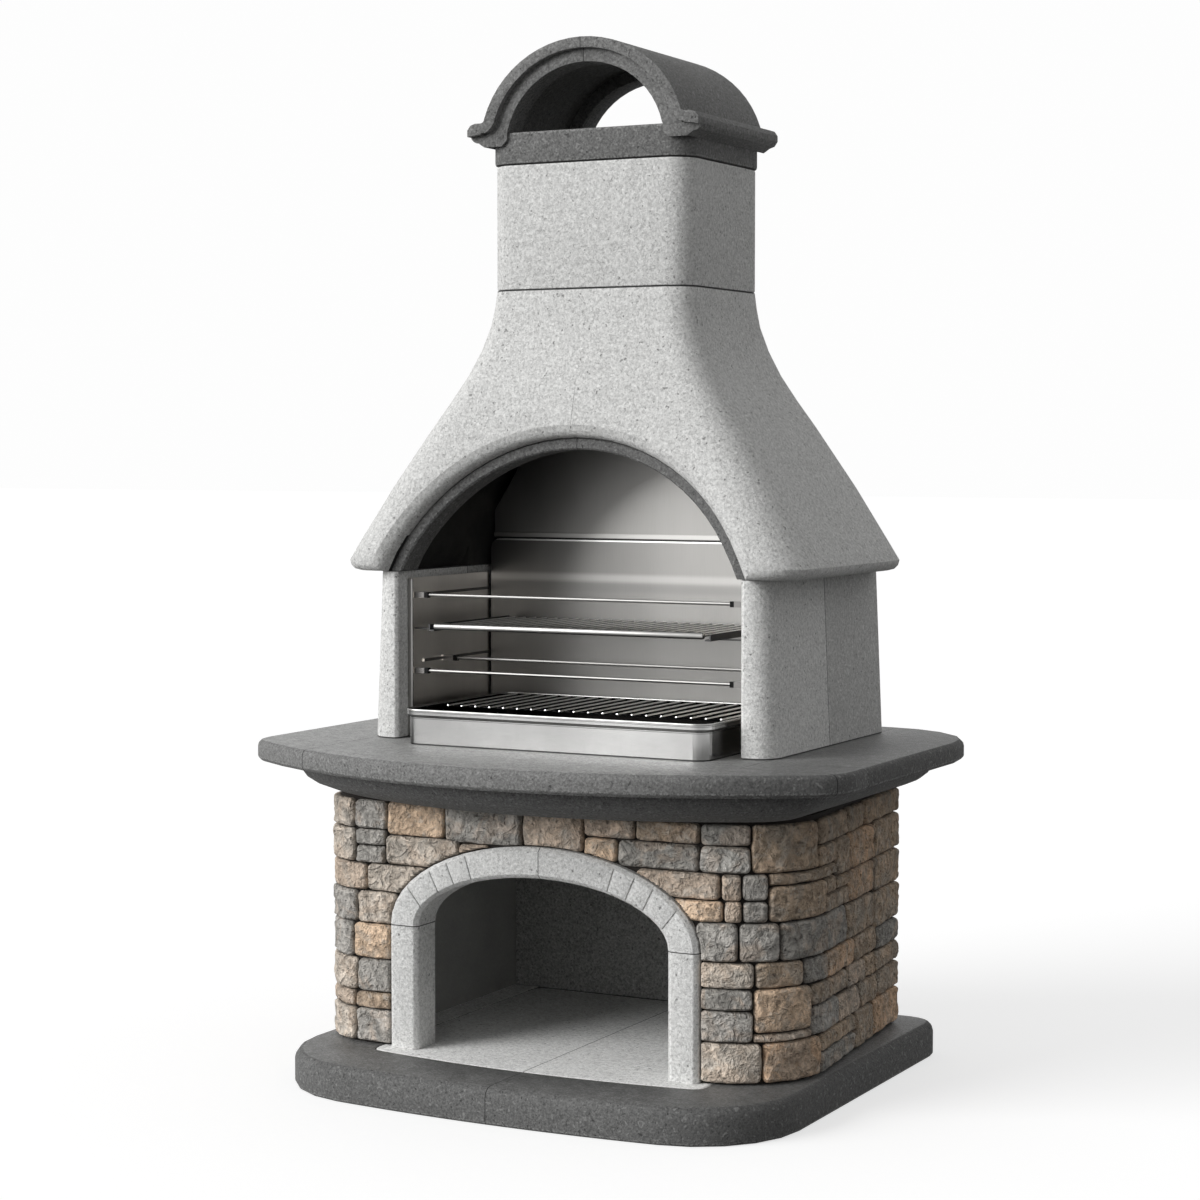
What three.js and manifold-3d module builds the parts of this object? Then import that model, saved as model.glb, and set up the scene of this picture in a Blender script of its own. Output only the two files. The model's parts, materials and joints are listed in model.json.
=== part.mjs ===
// A free-standing masonry barbecue fireplace: a bowed concrete base slab, a stone-clad wood store with an
// arched mouth, a bowed worktop on a moulded cornice, a steel-lined firebox with sliding charcoal tray and
// cooking grate, and a flared hood that carries a chimney section and a vaulted cap.
// Millimetres. x runs to the right, y to the rear and z up. While it is built, x and y are measured from the
// chimney's centre line; the last lines move the whole to the centre of its footprint.

import * as THREE from "three";
import { mergeVertices } from "three/addons/utils/BufferGeometryUtils.js";
import Module from "manifold-3d";

// Joints and cuts
const joint = 0.3; // gap between two pieces that touch
const overrun = 20; // how far a cutting shape passes the piece it cuts
const weld = 0.001; // vertices nearer than this are one

// Base slab
const slabHeight = 75;
const slabHalfWidth = 573;
const slabFrontReach = 620;
const slabRearReach = 415;
const slabBowRadius = 3340;
const slabFrontCorner = 230;
const slabRearCorner = 70;
const slabTopEdge = 20;
const slabBottomEdge = 5;

// Floor of the wood store, let into the slab
const floorHalfWidth = 385;
const floorFrontReach = 466;
const floorBowRadius = 2200;
const floorFrontCorner = 30;
const floorThickness = 20;
const floorClearance = 1.5;
const floorEdge = 3;

// Walls of the wood store: a core that carries the cladding stones
const wallHeight = 530;
const wallFrontReach = 381;
const wallFrontHalf = 553;
const wallRearReach = 335;
const wallRearHalf = 485;
const rightWallCorner = 178;
const leftWallCorner = 110;
const storeHalfWidth = 446;
const storeFrontReach = 326;
const storeRearReach = 290;
const wallSeam = 43; // how far left of the middle the two wall halves meet over the arch

// Cladding stones
const stoneRelief = 16;
const stoneShoulder = 6;
const stoneRoot = 6;
const stoneJoint = 5;
const stoneCorner = 11;
const stoneLean = 5;

// Arch of the wood store
const archInnerHalf = 292;
const archOuterHalf = 360;
const archInnerRise = 123;
const archOuterRise = 187;
const archFrontReach = 402.5;
const archBevel = 9;
const jambHeight = 261.5;
const scoreWidth = 3;
const scoreDepth = 4;

// Worktop and the cornice under it
const worktopThickness = 45;
const worktopHalfWidth = 685;
const worktopFrontReach = 670;
const worktopRearReach = 430;
const worktopBowRadius = 1100;
const worktopFrontCorner = 110;
const worktopRearCorner = 240;
const worktopTopEdge = 14;
const worktopBottomEdge = 8;
const wingSeam = 465;
const rightWingFront = 310;
const corniceHeight = 67;
const corniceHeadInset = 78;
const corniceFootInset = 160;
const corniceFootRear = 345;

// Firebox walls
const fireboxHeight = 360;
const fireboxHalfWidth = 402.5;
const pillarFootHalf = 474;
const pillarHeadHalf = 458;
const pillarFrontReach = 297;
const pillarCorner = 46;
const pillarBevel = 7;
const sideWallRearReach = 294;
const rearWallThickness = 94;

// Hood
const hoodHeight = 595;
const hoodLipHalf = 540;
const hoodLipFront = 334;
const hoodLipRear = 299;
const hoodLipRadius = 22;
const hoodLipCorner = 95;
const hoodWall = 55;
const hoodMouthRise = 284;
const hoodMouthHalf = 420;
const mouthEdge = 34; // rounding of the mouth's front edge
const mouthEdgeTurnShare = 0.83; // of a right angle

// Dark arch that lines the mouth of the hood
const trimThickness = 25;
const trimDepth = 65;
const trimSetback = 42;
const trimBevel = 4;

// Chimney section and collar
const chimneyHalfWidth = 235;
const chimneyFrontReach = 195;
const chimneyRearReach = 184;
const chimneyCorner = 55;
const chimneyHeight = 264;
const chimneyEdge = 3;
const collarHeight = 67;
const collarProud = 3;
const flueHalfWidth = 167;
const flueHalfDepth = 117;
const flueCorner = 30;

// Chimney cap
const capFrontReach = 219;
const capRearReach = 177;
const capRise = 185; // from the collar's top to the crown
const vaultHalf = 240; // half width and rise of the vault's three ellipses, round one centre
const vaultRise = 220;
const soffitHalf = 215;
const soffitRise = 198;
const capRingHalf = 186;
const capRingRise = 171;
const capRingDepth = 60;
const capRingSetback = 15;
const eavesHalfWidth = 272;
const eavesTop = 20; // above the collar's top
const eavesDrop = 29; // below the collar's top
const eavesTipLift = 9; // the tip's underside above the eaves' lowest edge
const eavesFillet = 9;
const ringFootHalf = 183;
const ringFootBevel = 13;

// Steel lining of the firebox
const sheet = 2;
const linerHalf = 395;
const linerFront = 253;
const linerHeight = 343;
const linerFold = 7;
const linerRailHeight = 6;
const linerRailProud = 3;
const linerRailFront = 205;
const backReach = 80;
const backHalf = 388;
const backHeight = 418;
const backCorner = 22;
const backFlange = 24;
const upperBackSetback = 18;
const upperBackShoulder = 63;
const upperBackHeight = 215;
const upperBackTopHalf = 290;
const hemHeight = 13;
const hemThickness = 6;

// Rods across the firebox, in sockets on the lining
const rodRadius = 3.5;
const socketLength = 36;
const socketHalf = 6;
const socketBore = 18;
const boreClearance = 0.35;
const upperRodLevel = 307;
const lowerRodLevel = 144;
const lowerRearRodLevel = 163;
const frontRodReach = 240;
const rearRodReach = 120;

// Cooking grate and the runners that carry it
const runnerLevel = 233;
const runnerHeight = 14;
const runnerSheet = 3;
const runnerInnerHalf = 319;
const runnerOuterHalf = 332;
const runnerFront = 283;
const runnerRear = 60;
const armWidth = 12;
const armFront = 236;
const armRear = 24;
const grateBarRadius = 3;
const grateBars = 24;
const grateBarInset = 17; // from the wires' ends to the outer bars
const grateRear = 50;
const grateHandleRadius = 7;
const grateHandleHalf = 317;
const grateWireRadius = 2.5;
const grateSideClearance = 1.5;

// Charcoal tray and the fire grate in it
const trayOffset = 15; // the tray stands a little right of centre
const trayHalf = 356;
const trayFront = 380;
const trayRear = 60;
const trayHeight = 75;
const trayCorner = 35;
const trayRim = 12;
const trayStep = 6;
const trayWall = 3;
const fireBarRadius = 3;
const fireBars = 20;
const fireBarInset = 29; // from the wires' ends to the outer bars
const fireFront = 245;
const fireWireRadius = 2.5;
const fireWireInset = 45;
const fireEndClearance = 1;
const barBite = 0.8; // how far a bar is welded into the wire under it

// How finely round stretches are drawn
const bowSteps = 7;
const cornerSteps = 5;
const edgeSteps = 3;
const lipSteps = 3;
const archSteps = 24;
const mouthSteps = 28;
const mouthEdgeSteps = 4;
const capSteps = 24;
const wallArcSteps = 5;
const rodSides = 8;
const barSides = 5;

// Levels, each worked out from the one below
const storeTop = slabHeight + wallHeight;
const corniceTop = storeTop + corniceHeight;
const worktopTop = corniceTop + worktopThickness;
const hoodBottom = worktopTop + fireboxHeight;
const chimneyBottom = hoodBottom + hoodHeight;
const collarBottom = chimneyBottom + chimneyHeight;
const collarTop = collarBottom + collarHeight;
const archSpring = slabHeight + jambHeight;

// Cladding stones: start and end as shares of the path from the front's middle round to the rear corner,
// bottom and top as shares of the wall's height.
const rightStoneShares = [
  [-0.036, 0.084, 0.84, 0.985],
  [0.084, 0.184, 0.902, 0.985],
  [0.184, 0.306, 0.902, 0.985],
  [0.306, 0.39, 0.902, 0.985],
  [0.39, 0.523, 0.798, 0.985],
  [0.523, 0.672, 0.883, 0.985],
  [0.672, 0.774, 0.883, 0.985],
  [0.774, 1, 0.883, 0.985],
  [0.084, 0.15, 0.81, 0.902],
  [0.15, 0.305, 0.798, 0.902],
  [0.305, 0.39, 0.798, 0.902],
  [0.523, 0.609, 0.798, 0.883],
  [0.609, 0.837, 0.735, 0.883],
  [0.837, 1, 0.735, 0.883],
  [0.209, 0.341, 0.696, 0.798],
  [0.341, 0.375, 0.696, 0.798],
  [0.375, 0.419, 0.696, 0.798],
  [0.419, 0.609, 0.75, 0.798],
  [0.419, 0.553, 0.613, 0.75],
  [0.553, 0.609, 0.683, 0.75],
  [0.609, 0.686, 0.683, 0.735],
  [0.553, 0.686, 0.613, 0.683],
  [0.686, 0.837, 0.605, 0.735],
  [0.837, 1, 0.595, 0.735],
  [0.251, 0.346, 0.613, 0.696],
  [0.346, 0.376, 0.613, 0.696],
  [0.376, 0.419, 0.613, 0.696],
  [0.297, 0.37, 0.464, 0.613],
  [0.37, 0.439, 0.464, 0.613],
  [0.439, 0.669, 0.464, 0.613],
  [0.669, 0.837, 0.462, 0.605],
  [0.837, 1, 0.445, 0.595],
  [0.304, 0.396, 0.364, 0.464],
  [0.396, 0.486, 0.364, 0.464],
  [0.486, 0.56, 0.364, 0.464],
  [0.56, 0.855, 0.358, 0.462],
  [0.855, 1, 0.35, 0.445],
  [0.304, 0.394, 0.281, 0.364],
  [0.394, 0.505, 0.196, 0.364],
  [0.505, 0.677, 0.275, 0.358],
  [0.677, 0.783, 0.265, 0.358],
  [0.783, 0.847, 0.265, 0.358],
  [0.847, 1, 0.265, 0.35],
  [0.304, 0.394, 0.16, 0.281],
  [0.394, 0.505, 0.16, 0.196],
  [0.505, 0.626, 0.16, 0.275],
  [0.626, 0.86, 0.157, 0.265],
  [0.86, 1, 0.157, 0.265],
  [0.304, 0.409, 0.006, 0.16],
  [0.409, 0.532, 0.006, 0.16],
  [0.532, 0.728, 0.087, 0.157],
  [0.532, 0.728, 0.006, 0.087],
  [0.728, 0.839, 0.006, 0.157],
  [0.839, 1, 0.006, 0.157],
];
const leftStoneShares = [
  [0.037, 0.188, 0.838, 0.985],
  [0.188, 0.304, 0.849, 0.985],
  [0.304, 0.37, 0.866, 0.985],
  [0.37, 0.56, 0.866, 0.985],
  [0.56, 0.72, 0.88, 0.985],
  [0.72, 0.86, 0.88, 0.985],
  [0.86, 1, 0.88, 0.985],
  [0.103, 0.16, 0.785, 0.838],
  [0.16, 0.308, 0.728, 0.849],
  [0.308, 0.37, 0.8, 0.866],
  [0.308, 0.37, 0.728, 0.8],
  [0.37, 0.53, 0.728, 0.866],
  [0.53, 0.66, 0.74, 0.88],
  [0.66, 0.85, 0.74, 0.88],
  [0.85, 1, 0.74, 0.88],
  [0.247, 0.346, 0.617, 0.728],
  [0.346, 0.5, 0.617, 0.728],
  [0.5, 0.68, 0.61, 0.74],
  [0.68, 0.8, 0.61, 0.74],
  [0.8, 1, 0.61, 0.74],
  [0.285, 0.366, 0.487, 0.617],
  [0.366, 0.55, 0.487, 0.617],
  [0.55, 0.75, 0.47, 0.61],
  [0.75, 0.88, 0.47, 0.61],
  [0.88, 1, 0.47, 0.61],
  [0.295, 0.375, 0.344, 0.487],
  [0.375, 0.58, 0.344, 0.487],
  [0.58, 0.7, 0.35, 0.47],
  [0.7, 0.9, 0.35, 0.47],
  [0.9, 1, 0.35, 0.47],
  [0.295, 0.366, 0.21, 0.344],
  [0.366, 0.6, 0.21, 0.344],
  [0.6, 0.78, 0.2, 0.35],
  [0.78, 1, 0.2, 0.35],
  [0.295, 0.37, 0.142, 0.21],
  [0.37, 0.57, 0.142, 0.21],
  [0.57, 0.7, 0.1, 0.2],
  [0.7, 0.86, 0.1, 0.2],
  [0.86, 1, 0.1, 0.2],
  [0.295, 0.37, 0.006, 0.142],
  [0.37, 0.57, 0.006, 0.142],
  [0.57, 0.72, 0.006, 0.1],
  [0.72, 0.88, 0.006, 0.1],
  [0.88, 1, 0.006, 0.1],
];

// Score lines on the arch, as shares of the quarter turn from its foot to its crown
const scoreOuterShares = [0.31, 0.475, 0.575, 0.675];
const scoreInnerShares = [0.2, 0.4, 0.527, 0.64];

// The cornice's moulding, from its foot up: share of its height, and how far it has drawn in from its head
// towards its foot
const mouldingShares = [
  [0, 1],
  [0.1, 0.78],
  [0.28, 0.42],
  [0.5, 0.17],
  [0.75, 0.04],
  [1, 0],
];

// The hood's flare, from the lip up: share of the height above the lip, how much of the sides' flare is left,
// and how much of the front's and rear's
const hoodFlareShares = [
  [0, 1, 1],
  [0.05, 0.94, 0.98],
  [0.27, 0.695, 0.74],
  [0.495, 0.416, 0.489],
  [0.6, 0.275, 0.382],
  [0.69, 0.166, 0.281],
  [0.78, 0.088, 0.165],
  [0.87, 0.031, 0.083],
  [0.94, 0.01, 0.035],
  [1, 0, 0],
];

// The joint between the cap's shell and the foot of its front ring, from the soffit outwards: share of the
// way to the eaves' tip, and level as a share of the eaves' top
const footJointShares = [
  [0, 1],
  [0.1, 0.48],
  [0.22, 0.15],
  [0.38, -0.1],
  [0.66, -0.2],
  [0.95, -0.35],
  [1.1, -0.45],
];

// Finishes
function finish(color, roughness, metalness) {
  return new THREE.MeshStandardMaterial({ color, roughness, metalness });
}
const paleConcrete = () => finish(0xcdcdcb, 0.9, 0);
const darkConcrete = () => finish(0x67676a, 0.85, 0);
const claddingStone = () => finish(0xa59788, 0.95, 0);
const brushedSteel = () => finish(0xb4b0aa, 0.35, 1);
const blackSteel = () => finish(0x2a2a2b, 0.6, 0.8);
const brightSteel = () => finish(0xd6d4d0, 0.2, 1);

// Solids
const wasm = await Module();
wasm.setup();

function solidOf(geometry) {
  const bare = geometry.clone();
  bare.deleteAttribute("normal");
  bare.deleteAttribute("uv");
  const merged = mergeVertices(bare, weld);
  return new wasm.Manifold(
    new wasm.Mesh({
      numProp: merged.attributes.position.itemSize,
      vertProperties: merged.attributes.position.array,
      triVerts: merged.index.array,
    }),
  );
}

function geometryOf(solid) {
  const mesh = solid.getMesh();
  const geometry = new THREE.BufferGeometry();
  geometry.setAttribute("position", new THREE.BufferAttribute(mesh.vertProperties, mesh.numProp));
  geometry.setIndex(new THREE.BufferAttribute(mesh.triVerts, 1));
  geometry.computeVertexNormals();
  return geometry;
}

// A closed solid through rings of equally many points. Each ring turns anticlockwise seen from the last one,
// and the first and last are closed by strips between their two ends.
function loft(rings) {
  const count = rings[0].length;
  const last = rings.length - 1;
  const index = [];
  for (let ring = 0; ring < last; ring += 1) {
    for (let i = 0; i < count; i += 1) {
      const next = (i + 1) % count;
      const low = ring * count;
      const high = low + count;
      index.push(low + i, low + next, high + next, low + i, high + next, high + i);
    }
  }
  for (let i = 0; i < count / 2 - 1; i += 1) {
    const opposite = count - 1 - i;
    const top = last * count;
    index.push(i, opposite, i + 1);
    index.push(top + i, top + i + 1, top + opposite);
    if (opposite - 1 > i + 1) {
      index.push(i + 1, opposite, opposite - 1);
      index.push(top + i + 1, top + opposite - 1, top + opposite);
    }
  }
  const geometry = new THREE.BufferGeometry().setFromPoints(rings.flat());
  geometry.setIndex(index);
  return solidOf(geometry);
}

// A block between two corners.
function block(low, high) {
  const size = high.clone().sub(low);
  const geometry = new THREE.BoxGeometry(size.x, size.y, size.z);
  const middle = low.clone().add(high).divideScalar(2);
  geometry.translate(middle.x, middle.y, middle.z);
  return solidOf(geometry);
}

const at = (x, y, z) => new THREE.Vector3(x, y, z);

// An outline in x and z, run from front to rear.
function runBack(outline, front, rear) {
  const geometry = new THREE.ExtrudeGeometry(new THREE.Shape(outline), {
    depth: rear - front,
    bevelEnabled: false,
  });
  geometry.rotateX(Math.PI / 2);
  geometry.translate(0, rear, 0);
  return solidOf(geometry);
}

// A plan run up between two levels.
function runUp(plan, low, high) {
  return loft([low, high].map((level) => plan.map((p) => at(p.x, p.y, level))));
}

// A round bar between two points.
function bar(from, to, radius, sides) {
  const run = to.clone().sub(from);
  const geometry = new THREE.CylinderGeometry(radius, radius, run.length(), sides);
  const turn = new THREE.Quaternion().setFromUnitVectors(at(0, 1, 0), run.normalize());
  geometry.applyQuaternion(turn);
  const middle = from.clone().add(to).divideScalar(2);
  geometry.translate(middle.x, middle.y, middle.z);
  return solidOf(geometry);
}

function mirrored(solid) {
  const geometry = geometryOf(solid);
  geometry.scale(-1, 1, 1);
  const order = geometry.index.array;
  for (let i = 0; i < order.length; i += 3) {
    [order[i + 1], order[i + 2]] = [order[i + 2], order[i + 1]];
  }
  return solidOf(geometry);
}

const joined = (solids) => solids.reduce((whole, solid) => whole.add(solid));

// Everything to the right of an upright plane across the object.
const far = worktopHalfWidth + worktopFrontReach + overrun;
const rightOf = (x) => block(at(x, -far, -overrun), at(far, far, collarTop + far));

// Outlines
function arcOf(centre, radiusX, radiusY, from, to, steps) {
  return Array.from({ length: steps + 1 }, (_, i) => {
    const angle = from + ((to - from) * i) / steps;
    return new THREE.Vector2(
      centre.x + radiusX * Math.cos(angle),
      centre.y + radiusY * Math.sin(angle),
    );
  });
}

// A plan symmetrical about x = 0 with a bowed front, rounded corners and a straight rear, anticlockwise from
// the middle of the front.
function bowedPlan({ half, front, rear, bow, frontCorner, rearCorner }) {
  const bowCentre = new THREE.Vector2(0, bow - front);
  const cornerX = half - frontCorner;
  const drop = Math.sqrt((bow - frontCorner) ** 2 - cornerX ** 2);
  const corner = new THREE.Vector2(cornerX, bowCentre.y - drop);
  const turn = Math.atan2(-drop, cornerX);
  const bowHalf = arcOf(bowCentre, bow, bow, -Math.PI / 2, turn, bowSteps);
  const frontArc = arcOf(corner, frontCorner, frontCorner, turn, 0, cornerSteps);
  const rearCentre = new THREE.Vector2(half - rearCorner, rear - rearCorner);
  const rearArc = arcOf(rearCentre, rearCorner, rearCorner, 0, Math.PI / 2, cornerSteps);
  const right = [...bowHalf, ...frontArc.slice(1), ...rearArc];
  const left = right.slice(1).reverse().map((p) => new THREE.Vector2(-p.x, p.y));
  return [...right, ...left];
}

// A rounded rectangle, symmetrical about x = 0, anticlockwise from the front's left end.
function roundedPlan(half, front, rear, radius) {
  const quarter = Math.PI / 2;
  const centres = [
    [half - radius, front + radius, -quarter],
    [half - radius, rear - radius, 0],
    [radius - half, rear - radius, quarter],
    [radius - half, front + radius, 2 * quarter],
  ];
  return centres.flatMap(([x, y, from]) =>
    arcOf(new THREE.Vector2(x, y), radius, radius, from, from + quarter, cornerSteps),
  );
}

// A slab on a plan that planAt draws for each inset, with a bevelled bottom edge and a rounded top edge.
function roundedSlab(planAt, low, high, bottomEdge, topEdge, steps) {
  const rings = [
    [bottomEdge, low],
    [0, low + bottomEdge],
  ];
  for (let i = 0; i <= steps; i += 1) {
    const angle = (Math.PI / 2) * (i / steps);
    rings.push([topEdge * (1 - Math.cos(angle)), high - topEdge * (1 - Math.sin(angle))]);
  }
  return loft(rings.map(([inset, level]) => planAt(inset).map((p) => at(p.x, p.y, level))));
}

// An arched opening in x and z: upright sides below the spring and half an ellipse above.
function archedOutline(half, rise, spring, foot) {
  const sides = [new THREE.Vector2(-half, foot), new THREE.Vector2(half, foot)];
  return [...sides, ...arcOf(new THREE.Vector2(0, spring), half, rise, 0, Math.PI, archSteps)];
}

// Parts list
const inner = new THREE.Group();
function add(name, solid, material) {
  const mesh = new THREE.Mesh(geometryOf(solid), material);
  mesh.name = name;
  inner.add(mesh);
}

// Base slab, in two halves, with a shallow recess for the store's floor
function slabPlan(inset) {
  return bowedPlan({
    half: slabHalfWidth - inset,
    front: slabFrontReach - inset,
    rear: slabRearReach - inset,
    bow: slabBowRadius - inset,
    frontCorner: slabFrontCorner - inset,
    rearCorner: slabRearCorner - inset,
  });
}

function floorPlan(inset) {
  return bowedPlan({
    half: floorHalfWidth - inset,
    front: floorFrontReach - inset,
    rear: storeRearReach - joint - inset,
    bow: floorBowRadius - inset,
    frontCorner: floorFrontCorner - inset,
    rearCorner: floorFrontCorner - inset,
  });
}

function addBaseSlab() {
  const whole = roundedSlab(slabPlan, 0, slabHeight, slabBottomEdge, slabTopEdge, edgeSteps);
  const recessFloor = slabHeight - floorThickness - joint;
  const recess = runUp(floorPlan(-floorClearance), recessFloor, slabHeight + overrun);
  const halfSlab = whole.subtract(recess).intersect(rightOf(joint / 2));
  add("base_slab_right", halfSlab, darkConcrete());
  add("base_slab_left", mirrored(halfSlab), darkConcrete());
}

function addStoreFloor() {
  const low = slabHeight - floorThickness;
  const whole = roundedSlab(floorPlan, low, slabHeight, floorEdge, floorEdge, 1);
  const halfFloor = whole.intersect(rightOf(joint / 2));
  add("store_floor_right", halfFloor, paleConcrete());
  add("store_floor_left", mirrored(halfFloor), paleConcrete());
}

// Walls of the wood store. Their outer face is followed by its distance from the front's middle: straight
// along the front, round the corner, and straight back to the rear.
const cheek = new THREE.Vector2(wallRearHalf - wallFrontHalf, wallRearReach + wallFrontReach);

function wallFace(corner) {
  const turn = cheek.angle();
  const tangent = corner * Math.tan(turn / 2);
  const start = wallFrontHalf - tangent;
  const end = start + corner * turn;
  const centre = new THREE.Vector2(start, corner - wallFrontReach);
  return {
    path: end + cheek.length() - tangent,
    bends: Array.from({ length: wallArcSteps + 1 }, (_, i) => start + ((end - start) * i) / wallArcSteps),
    pointAt(distance, proud) {
      const turned = THREE.MathUtils.clamp((distance - start) / corner, 0, turn);
      const normal = new THREE.Vector2(Math.sin(turned), -Math.cos(turned));
      const along = new THREE.Vector2(Math.cos(turned), Math.sin(turned));
      const straight = Math.min(distance - start, 0) + Math.max(distance - end, 0);
      return normal.multiplyScalar(corner + proud).addScaledVector(along, straight).add(centre);
    },
  };
}

// One cladding stone: a chamfered block that follows the wall and narrows towards its face.
function claddingStoneSolid(face, [fromShare, toShare, lowShare, highShare]) {
  const from = fromShare * face.path + stoneJoint / 2;
  const to = toShare * face.path - stoneJoint / 2;
  const low = slabHeight + lowShare * wallHeight + stoneJoint / 2;
  const high = slabHeight + highShare * wallHeight - stoneJoint / 2;
  const least = Math.min(high - low, to - from);
  const corner = Math.min(stoneCorner, least / 4);
  const lean = Math.min(stoneLean, least / 8);
  const edge = corner + lean;
  const bends = face.bends.filter((bend) => bend > from + edge && bend < to - edge);
  const ringAt = (inset, proud) => {
    const stations = [
      [from + inset, corner],
      [from + inset + corner, 0],
      ...bends.map((distance) => [distance, 0]),
      [to - inset - corner, 0],
      [to - inset, corner],
    ];
    const place = (distance, level) => {
      const p = face.pointAt(distance, proud);
      return at(p.x, p.y, level);
    };
    const bottom = stations.map(([distance, cut]) => place(distance, low + inset + cut));
    const top = stations.map(([distance, cut]) => place(distance, high - inset - cut));
    return [...bottom, ...top.reverse()];
  };
  const shoulder = ringAt(0, stoneRelief - stoneShoulder);
  return loft([ringAt(0, -stoneRoot), shoulder, ringAt(lean, stoneRelief)]);
}

function wallHalf(face, stoneShares, seam) {
  const stations = [-wallFrontHalf, ...face.bends, face.path];
  const outline = stations.map((distance) => face.pointAt(distance, 0));
  const plan = [...outline, new THREE.Vector2(-wallFrontHalf, wallRearReach)];
  const shell = runUp(plan, slabHeight + joint, storeTop).subtract(
    block(
      at(-far, -storeFrontReach, -overrun),
      at(storeHalfWidth, far, storeTop + overrun),
    ),
  );
  const mouthWith = (clearance) =>
    runBack(
      archedOutline(archOuterHalf + clearance, archOuterRise + clearance, archSpring, -overrun),
      -archFrontReach - overrun,
      overrun - storeFrontReach,
    );
  const stones = joined(stoneShares.map((row) => claddingStoneSolid(face, row)));
  const core = shell.subtract(mouthWith(joint));
  return core.add(stones.subtract(mouthWith(stoneJoint))).intersect(rightOf(seam));
}

function addStoreWalls() {
  const right = wallHalf(wallFace(rightWallCorner), rightStoneShares, joint / 2 - wallSeam);
  const left = wallHalf(wallFace(leftWallCorner), leftStoneShares, joint / 2 + wallSeam);
  add("base_wall_right", right, claddingStone());
  add("base_wall_left", mirrored(left), claddingStone());
  const panel = block(
    at(joint - storeHalfWidth, storeRearReach, slabHeight + joint),
    at(storeHalfWidth - joint, wallRearReach, storeTop),
  );
  add("base_rear_panel", panel, darkConcrete());
}

// The store's arch: two jambs and two half rings, scored as if laid in blocks
function archPoint(radialShare, turn) {
  const half = archInnerHalf + (archOuterHalf - archInnerHalf) * radialShare;
  const rise = archInnerRise + (archOuterRise - archInnerRise) * radialShare;
  return new THREE.Vector2(half * Math.cos(turn), archSpring + rise * Math.sin(turn));
}

function addStoreArch() {
  const front = -archFrontReach;
  const rear = -storeFrontReach;
  const bevelShare = archBevel / (archOuterHalf - archInnerHalf);
  const jambPlan = [
    [archInnerHalf + archBevel, front],
    [archOuterHalf - archBevel, front],
    [archOuterHalf, front + archBevel],
    [archOuterHalf, rear],
    [archInnerHalf, rear],
    [archInnerHalf, front + archBevel],
  ].map(([x, y]) => new THREE.Vector2(x, y));
  const jamb = runUp(jambPlan, slabHeight + joint, archSpring - joint);
  const section = [
    [bevelShare, front],
    [1 - bevelShare, front],
    [1, front + archBevel],
    [1, rear],
    [0, rear],
    [0, front + archBevel],
  ];
  const rings = Array.from({ length: archSteps + 1 }, (_, i) =>
    section.map(([radialShare, y]) => {
      const p = archPoint(radialShare, (Math.PI * i) / archSteps);
      return at(p.x, y, p.y);
    }),
  );
  const cuts = scoreOuterShares.map((outerShare, i) => {
    const low = archPoint(0, scoreInnerShares[i] * (Math.PI / 2));
    const high = archPoint(1, outerShare * (Math.PI / 2));
    const run = high.clone().sub(low);
    const geometry = new THREE.BoxGeometry(scoreWidth, scoreDepth + overrun, run.length() + overrun);
    geometry.rotateY(Math.atan2(run.x, run.y));
    const middle = low.add(high).divideScalar(2);
    geometry.translate(middle.x, front + (scoreDepth - overrun) / 2, middle.y);
    return solidOf(geometry);
  });
  const segment = cuts.reduce((solid, cut) => solid.subtract(cut), loft(rings).intersect(rightOf(joint / 2)));
  add("arch_jamb_right", jamb, paleConcrete());
  add("arch_jamb_left", mirrored(jamb), paleConcrete());
  add("arch_segment_right", segment, paleConcrete());
  add("arch_segment_left", mirrored(segment), paleConcrete());
}

// Cornice and worktop
function worktopPlan(inset) {
  return bowedPlan({
    half: worktopHalfWidth - inset,
    front: worktopFrontReach - inset,
    rear: worktopRearReach - inset,
    bow: worktopBowRadius - inset,
    frontCorner: worktopFrontCorner - inset,
    rearCorner: worktopRearCorner - inset,
  });
}

function cornicePlan(footShare) {
  const inset = corniceHeadInset + (corniceFootInset - corniceHeadInset) * footShare;
  const headRear = worktopRearReach - corniceHeadInset / 2;
  return bowedPlan({
    half: worktopHalfWidth - inset,
    front: worktopFrontReach - inset,
    rear: headRear + (corniceFootRear - headRear) * footShare,
    bow: worktopBowRadius - inset,
    frontCorner: worktopFrontCorner,
    rearCorner: worktopRearCorner - inset,
  });
}

function addWorktop() {
  const low = storeTop + joint;
  const cornice = mouldingShares.map(([heightShare, footShare]) =>
    cornicePlan(footShare).map((p) => at(p.x, p.y, low + (corniceTop - low) * heightShare)),
  );
  add("worktop_cornice", loft(cornice), darkConcrete());

  const whole = roundedSlab(
    worktopPlan,
    corniceTop + joint,
    worktopTop,
    worktopBottomEdge,
    worktopTopEdge,
    edgeSteps,
  );
  const rightWing = block(at(wingSeam, -rightWingFront, 0), at(far, far, far));
  const rightRest = block(at(wingSeam - joint, -rightWingFront - joint, 0), at(far, far, far));
  const leftWing = block(at(-far, -far, 0), at(-wingSeam, far, far));
  const leftRest = block(at(-far, -far, 0), at(joint - wingSeam, far, far));
  add("worktop_centre", whole.subtract(rightRest).subtract(leftRest), darkConcrete());
  add("worktop_right_wing", whole.intersect(rightWing), darkConcrete());
  add("worktop_left_wing", whole.intersect(leftWing), darkConcrete());
}

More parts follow.
